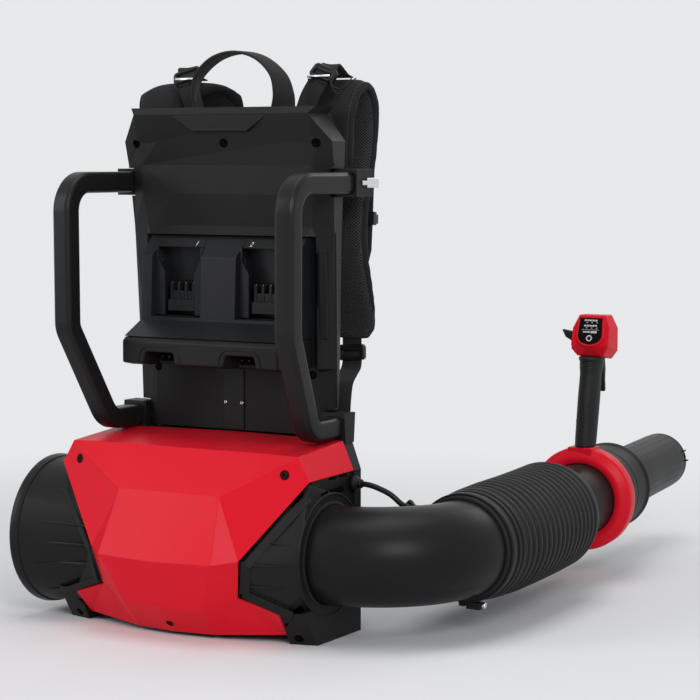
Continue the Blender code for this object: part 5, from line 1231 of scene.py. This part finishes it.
# ---- End tube
# A removable satin moulding with fine lengthwise flutes. It turns in the front tube's socket, and near its mouth it
# has a groove and two slots of painted shade, dark strips each between a pair of thin lugs, for the next tube's lock.
NOZZLE_START, NOZZLE_END = FLANGE_STATION - 34, BELLOWS_END + 408
nozzle_outer = [(NOZZLE_START, 34.9), (NOZZLE_START + 0.6, 35.4), (FLANGE_STATION + 8, 35.3)]
nozzle_outer += [(FLANGE_STATION + 8 + (NOZZLE_END - FLANGE_STATION - 18) * step / 8, 35.3 - 0.08 * step)
                 for step in range(1, 9)]
nozzle_outer += from_station(NOZZLE_END, [(-9, 34.6), (-8.5, 33.6), (-7, 33.6), (-6.5, 34.5), (-0.6, 34.4),
                                          (0, 33.9)])
nozzle_inner = [(NOZZLE_START, 33.0), (NOZZLE_END - 0.5, 32.0), (NOZZLE_END, 32.4)]
end_black = moulded_finish("end_tube_plastic", (0.010, 0.010, 0.0105), 0.36, 1200.0, 0.00003, 0.35, specular=0.08)
add_piece("nozzle_tube_shell", hose_shell(nozzle_outer, nozzle_inner), end_black, "gloss_black_plastic",
          "nozzle_tube", body="end_tube", crease=35)
across_tube = TUBE_WAY.cross(Vector((0, 0, 1))).normalized()
up_tube = across_tube.cross(TUBE_WAY)


def round_tube(turn):
    """The outward direction at an angle round the tube, in degrees."""
    across, up = at_angle(turn)
    return across_tube * across + up_tube * up


flutes = []
for index in range(24):
    out = round_tube(index * 15 + 7)
    near = hose_point(FLANGE_STATION + 6)[0] + out * 35.05
    far = hose_point(NOZZLE_END - 14)[0] + out * 34.45
    flutes.append(bar_between(near, far, 1.0, 0.9, out))
add_piece("nozzle_flutes", gather(flutes), end_black, "gloss_black_plastic", body="end_tube")
lug_spot, slot_spot = hose_point(NOZZLE_END - 3.5)[0], hose_point(NOZZLE_END - 3.6)[0]
prongs = [bar_between(lug_spot + round_tube(turn) * 33.2, lug_spot + round_tube(turn) * 37.6, 1.7, 5.0, TUBE_WAY)
          for turn in (4, 24, 184, 204)]
# the slots are dark strips of painted shade
slots = [bar_between(slot_spot + round_tube(turn) * 32.6, slot_spot + round_tube(turn) * 34.75, 7.5, 6.4, TUBE_WAY,
                     0.2) for turn in (14, 194)]
add_piece("nozzle_slots", gather(slots), painted_shade_black, "gloss_black_plastic", body="end_tube")
add_piece("nozzle_lugs", gather(prongs), end_black, "gloss_black_plastic", body="end_tube")

# ---- Handle ring
# A red moulded collar of the same plastic as the cover. It slides along the front tube's rail and carries the grip
# on a short block.
ring_centre = hose_point(RING_STATION)[0]
ring_outer = from_station(RING_STATION, [(-14, 49.4), (-13.3, 50.4), (-10.2, 57.4), (-8.4, 59.2), (-7.4, 59.4),
                                         (7.4, 59.4), (8.6, 59.2), (10.4, 58.0), (13.3, 53.2), (14, 52.0)])
ring_inner = from_station(RING_STATION, [(-14, 42.4), (-13.2, 41.6), (13.2, 41.6), (14, 42.4)])
add_piece("handle_ring_collar", hose_shell(ring_outer, ring_inner, 120), red, "red_plastic", "handle_ring",
          body="handle", crease=50)
block = box((ring_centre.x - 15, ring_centre.y - 13, 142), (ring_centre.x + 15, ring_centre.y + 13, 151.4), 1.6)
add_piece("handle_ring_block", block, red, "red_plastic", body="handle")

# ---- Grip
# Soft grained rubber moulded over the handle's core. It is oval and leans back from the machine, widens at both
# ends, and has three fine bands under the head and a small red button low on its left.
GRIP_X = ring_centre.x + 1.5
GRIP_FOOT, GRIP_TOP, GRIP_LEAN = 151.8, 253.5, 17.0
grip_levels = ((0, 11.5, 15), (0.15, 11.8, 15.5), (0.5, 11.8, 17), (0.8, 11.6, 16.5), (0.93, 13, 18), (1, 14.5, 20))


def grip_size(share):
    """Half the grip's width and depth, in millimetres, at a share of its length."""
    for (low, wide, deep), (high, wide_next, deep_next) in zip(grip_levels, grip_levels[1:]):
        if share <= high:
            t = (share - low) / (high - low)
            t = t * t * (3 - 2 * t)
            return wide + (wide_next - wide) * t, deep + (deep_next - deep) * t
    return grip_levels[-1][1:]


grip_places = []
for step in range(81):
    share = step / 80
    wide, deep = grip_size(share)
    for band_share in (0.895, 0.925, 0.955):
        if abs(share - band_share) < 0.006:
            wide, deep = wide - 0.55, deep - 0.55
    if step in (0, 80):
        wide, deep = wide - 0.7, deep - 0.7
    spot = Vector((GRIP_X, ring_centre.y + 1 + GRIP_LEAN * share, GRIP_FOOT + (GRIP_TOP - GRIP_FOOT) * share))
    grip_places.append(Matrix.Scale(MM, 4) @ Matrix.Translation(spot) @ Matrix.Diagonal((wide, deep, 1, 1)))
grip = swept(grip_places, circle(1.0, 48))
grip_rubber = moulded_finish("grip_rubber", (0.013, 0.013, 0.0135), 0.5, 420.0, 0.0005, 0.2)
# The pocket that the trigger swings in is cut out of the grip's front
pocket = slab([(GRIP_X - 7.5, y, z) for y, z in ((461, 256), (461, 206), (500, 200), (500, 258))], (15, 0, 0), 0)
blank = put_in_scene("pocket", mesh_of("pocket", pocket))
core = put_in_scene("core", mesh_of("core", grip))
cutter = core.modifiers.new("pocket", "BOOLEAN")
cutter.operation = "DIFFERENCE"
cutter.solver = "EXACT"
cutter.object = blank
grip = shape_from(as_drawn(core))
bpy.data.objects.remove(core)
bpy.data.objects.remove(blank)
add_piece("grip_sleeve", grip, grip_rubber, "black_rubber", "grip", body="handle", crease=40)
dot_spot = Vector((GRIP_X - 11.0, ring_centre.y + 1 + GRIP_LEAN * 0.28 - 4.5, 180))
add_piece("grip_button", turned([(-1, 0), (-1, 2.2), (0.6, 2.0), (0.9, 1.3), (0.9, 0)], dot_spot, (-1, -0.25, 0), 20),
          red, "red_plastic", body="handle", crease=40)

# ---- Handle head, display and controls
# A faceted red moulding with a raised rim round a glossy black display. The display shows two rows of small bars,
# a line and a white-ringed power button; a thumb lever stands out on the left and the trigger hangs in front.
head = merged_copy("handle_head")
for spot in head.verts:
    if spot.co.z > 0.2985:
        spot.co.x = GRIP_X * MM + (spot.co.x - GRIP_X * MM) * 1.3
    elif spot.co.z < 0.270 and spot.co.y > 0.475 and spot.co.x > (GRIP_X + 10) * MM:
        spot.co.z -= 0.0045
shell_piece("handle_head", red, "red_plastic", 1.6, 14, shape=head)
trigger = merged_copy("trigger")
for spot in trigger.verts:
    spot.co.y -= max(0.0, spot.co.y - 0.478) * 0.5
shell_piece("trigger", black, "black_plastic", 1.0, 25, shape=trigger)
lip = slab([(GRIP_X + x, 453, z) for x, z in ((-22.8, 266), (-24.4, 262.5), (-16.5, 254.2), (-13, 254.2),
                                              (-13, 264))], (0, 16, 0), 0.6)
add_piece("head_lip", lip, red, "red_plastic", body="handle")
shell_piece("cruise_lever", black, "black_plastic", 0.8, 35)
PANEL_TOP, PANEL_FOOT = Vector((0, 458, 301)), Vector((0, 449.5, 266))
PANEL_DOWN = (PANEL_FOOT - PANEL_TOP).normalized()
PANEL_OUT = PANEL_DOWN.cross(Vector((1, 0, 0)))
PANEL_MIDDLE = (PANEL_TOP + PANEL_FOOT) / 2 + Vector((GRIP_X, 0, 0))


def on_panel(across, up, out):
    """A point on the head's sloping face, in millimetres: across, up from its middle, and out of it."""
    return PANEL_MIDDLE + Vector((across, 0, 0)) - PANEL_DOWN * up + PANEL_OUT * out


display = merged_copy("display_panel")
for spot in display.verts:
    offset = spot.co.x - GRIP_X * MM
    if abs(offset) > 0.007:
        spot.co.x += math.copysign(0.0026, offset)
round_edges(display, 0.35, 20, 2)
add_piece("display_glass", display, gloss_black, "gloss_black_plastic", "display_panel", body="handle")
rim_line = [(-14.9, 15.4), (14.9, 15.4), (16.2, -5.5)]
rim_line += [(16.2 * x, -6.2 - 11.8 * y) for x, y in (at_angle(turn) for turn in range(12, 180, 12))]
rim_line.append((-16.2, -5.5))
rim_path = [on_panel(x, y, 1.0) for x, y in rim_line]
rim_path = [a.lerp(b, step / 4) for a, b in zip(rim_path, rim_path[1:] + rim_path[:1]) for step in range(4)]
rim_places = [stand(point, rim_path[(index + 1) % len(rim_path)] - rim_path[index - 1], PANEL_OUT)
              for index, point in enumerate(rim_path)]
rim = swept(rim_places, [(1.3, 0.8), (0.8, 1.5), (-0.9, 1.5), (-0.9, -1.3), (0.8, -1.3), (1.3, -0.8)], joined=True)
add_piece("display_rim", rim, red, "red_plastic", body="handle", crease=50)
lit, tree, shader = new_finish("display_print", {"Roughness": 0.4})
print_grain = noise_node(tree, tree.nodes.new("ShaderNodeTexCoord").outputs["Object"], 3000.0, 1.0)
tree.links.new(mix_colours(tree, print_grain, (0.50, 0.50, 0.50, 1.0), (0.74, 0.74, 0.74, 1.0)),
               shader.inputs["Base Color"])


def panel_mark(left, low, wide, tall):
    """One printed bar on the display."""
    corners = ((left, low), (left + wide, low), (left + wide, low + tall), (left, low + tall))
    return slab([on_panel(x, y, 1.95) for x, y in corners], PANEL_OUT * 0.2, 0)


marks = [panel_mark(-8 + index * 3.3, row, 2.6, 1.7) for row in (10.6, 4.4) for index in range(5)]
marks += [panel_mark(-5.5 + index * 6.2, row, 1.6, 0.9) for row in (8.4, 2.2) for index in range(3)]
marks += [panel_mark(-10.6, 0.2, 21.2, 0.35), panel_mark(-8.6, -2.9, 8.5, 1.5), panel_mark(0.8, -3.3, 7.4, 2.3)]
add_piece("display_marks", gather(marks), lit, "gloss_black_plastic", body="handle", flat=False)
button_centre = on_panel(0, -9.5, 0)
button = turned([(-1.6, 0), (-1.6, 4.5), (2.2, 4.6), (2.8, 4.3), (3.1, 3.7), (3.1, 0)], button_centre, PANEL_OUT, 48)
add_piece("power_button_cap", button, gloss_black, "gloss_black_plastic", "power_button", body="power_key", crease=40)
button_ring = turned([(3.0, 2.3), (3.0, 3.5), (3.25, 3.5), (3.25, 2.3)], button_centre, PANEL_OUT, 48)
add_piece("power_button_ring", button_ring, lit, "gloss_black_plastic", body="power_key", crease=40)

# ---- Cable gland
# A small black nylon nut with a stepped, tapered sleeve. It is screwed into the housing beside the outlet and holds
# the control cable where it comes out.
gland = turned([(0, 0), (0, 7.6), (0.6, 8.0), (3.2, 8.0), (4.0, 7.4), (4.6, 5.8), (6.2, 5.2), (6.4, 4.6), (7.4, 4.6),
                (7.6, 4.9), (8.8, 4.7), (9.6, 4.3), (9.7, 3.6), (9.7, 0)], GLAND_FACE - Vector((9.7, 0, 0)),
               (1, 0, 0), 40)
add_piece("cable_gland_body", gland, black, "black_plastic", "cable_gland", crease=40)

# ---- Floor, backdrop and studio lamps
# Not part of the machine: a pale sheet of paper on the floor, and broad soft lamps over and beside the camera.
BACKDROP = (0.80, 0.81, 0.82, 1.0)


def seen_by_lens(tree):
    """1 for rays that the camera sees straight, in a reflection or through glass, and 0 for light."""
    rays = tree.nodes.new("ShaderNodeLightPath").outputs
    mirrored = math_node(tree, "MAXIMUM", rays["Is Glossy Ray"], rays["Is Transmission Ray"])
    return math_node(tree, "MAXIMUM", rays["Is Camera Ray"], mirrored)


floor_shape = bmesh.new()
bmesh.ops.create_grid(floor_shape, x_segments=1, y_segments=1, size=6.0)
paper, tree, shader = new_finish("floor_paper", {"Base Color": (0.80, 0.80, 0.81, 1.0), "Roughness": 0.8,
                                                 "Specular IOR Level": 0.1})
# Away from the machine the sheet turns into the backdrop, so that no horizon shows
reach = add_node(tree, "ShaderNodeVectorMath", {0: tree.nodes.new("ShaderNodeTexCoord").outputs["Object"]},
                 operation="LENGTH")
fade = add_node(tree, "ShaderNodeMapRange", {"From Min": 0.35, "From Max": 1.5, "Value": reach.outputs["Value"]},
                interpolation_type="SMOOTHSTEP")
plain = add_node(tree, "ShaderNodeEmission", {"Color": BACKDROP})
share = math_node(tree, "MULTIPLY", seen_by_lens(tree), fade.outputs["Result"])
blend = add_node(tree, "ShaderNodeMixShader", {0: share, 1: shader.outputs[0], 2: plain.outputs[0]})
tree.links.new(blend.outputs[0], tree.nodes["Material Output"].inputs["Surface"])
floor_mesh = mesh_of("floor", floor_shape)
floor_mesh.materials.append(paper)
floor = put_in_scene("floor", floor_mesh)

world = bpy.data.worlds.new("studio")
bpy.context.scene.world = world
world.use_nodes = True
tree = world.node_tree
tree.links.new(mix_colours(tree, seen_by_lens(tree), (0.30, 0.31, 0.33, 1.0), BACKDROP),
               tree.nodes["Background"].inputs["Color"])

LAMPS = (("key_lamp", (2.2, -1.9, 1.6), (1.3, 1.3), 44.0), ("left_lamp", (-1.6, -1.6, 1.2), (0.7, 1.6), 17.0),
         ("top_lamp", (0.2, 0.1, 2.4), (1.6, 1.2), 20.0), ("back_lamp", (0.6, 2.4, 1.6), (1.4, 0.8), 6.0))
for name, place, size, power in LAMPS:
    lamp_data = bpy.data.lights.new(name, "AREA")
    lamp_data.shape = "RECTANGLE"
    lamp_data.size, lamp_data.size_y = size
    lamp_data.energy = power
    lamp = put_in_scene(name, lamp_data)
    lamp.location = place
    lamp.rotation_euler = (Vector((0.05, 0.1, 0.28)) - Vector(place)).to_track_quat("-Z", "Y").to_euler()
bpy.context.scene.view_settings.view_transform = "Standard"
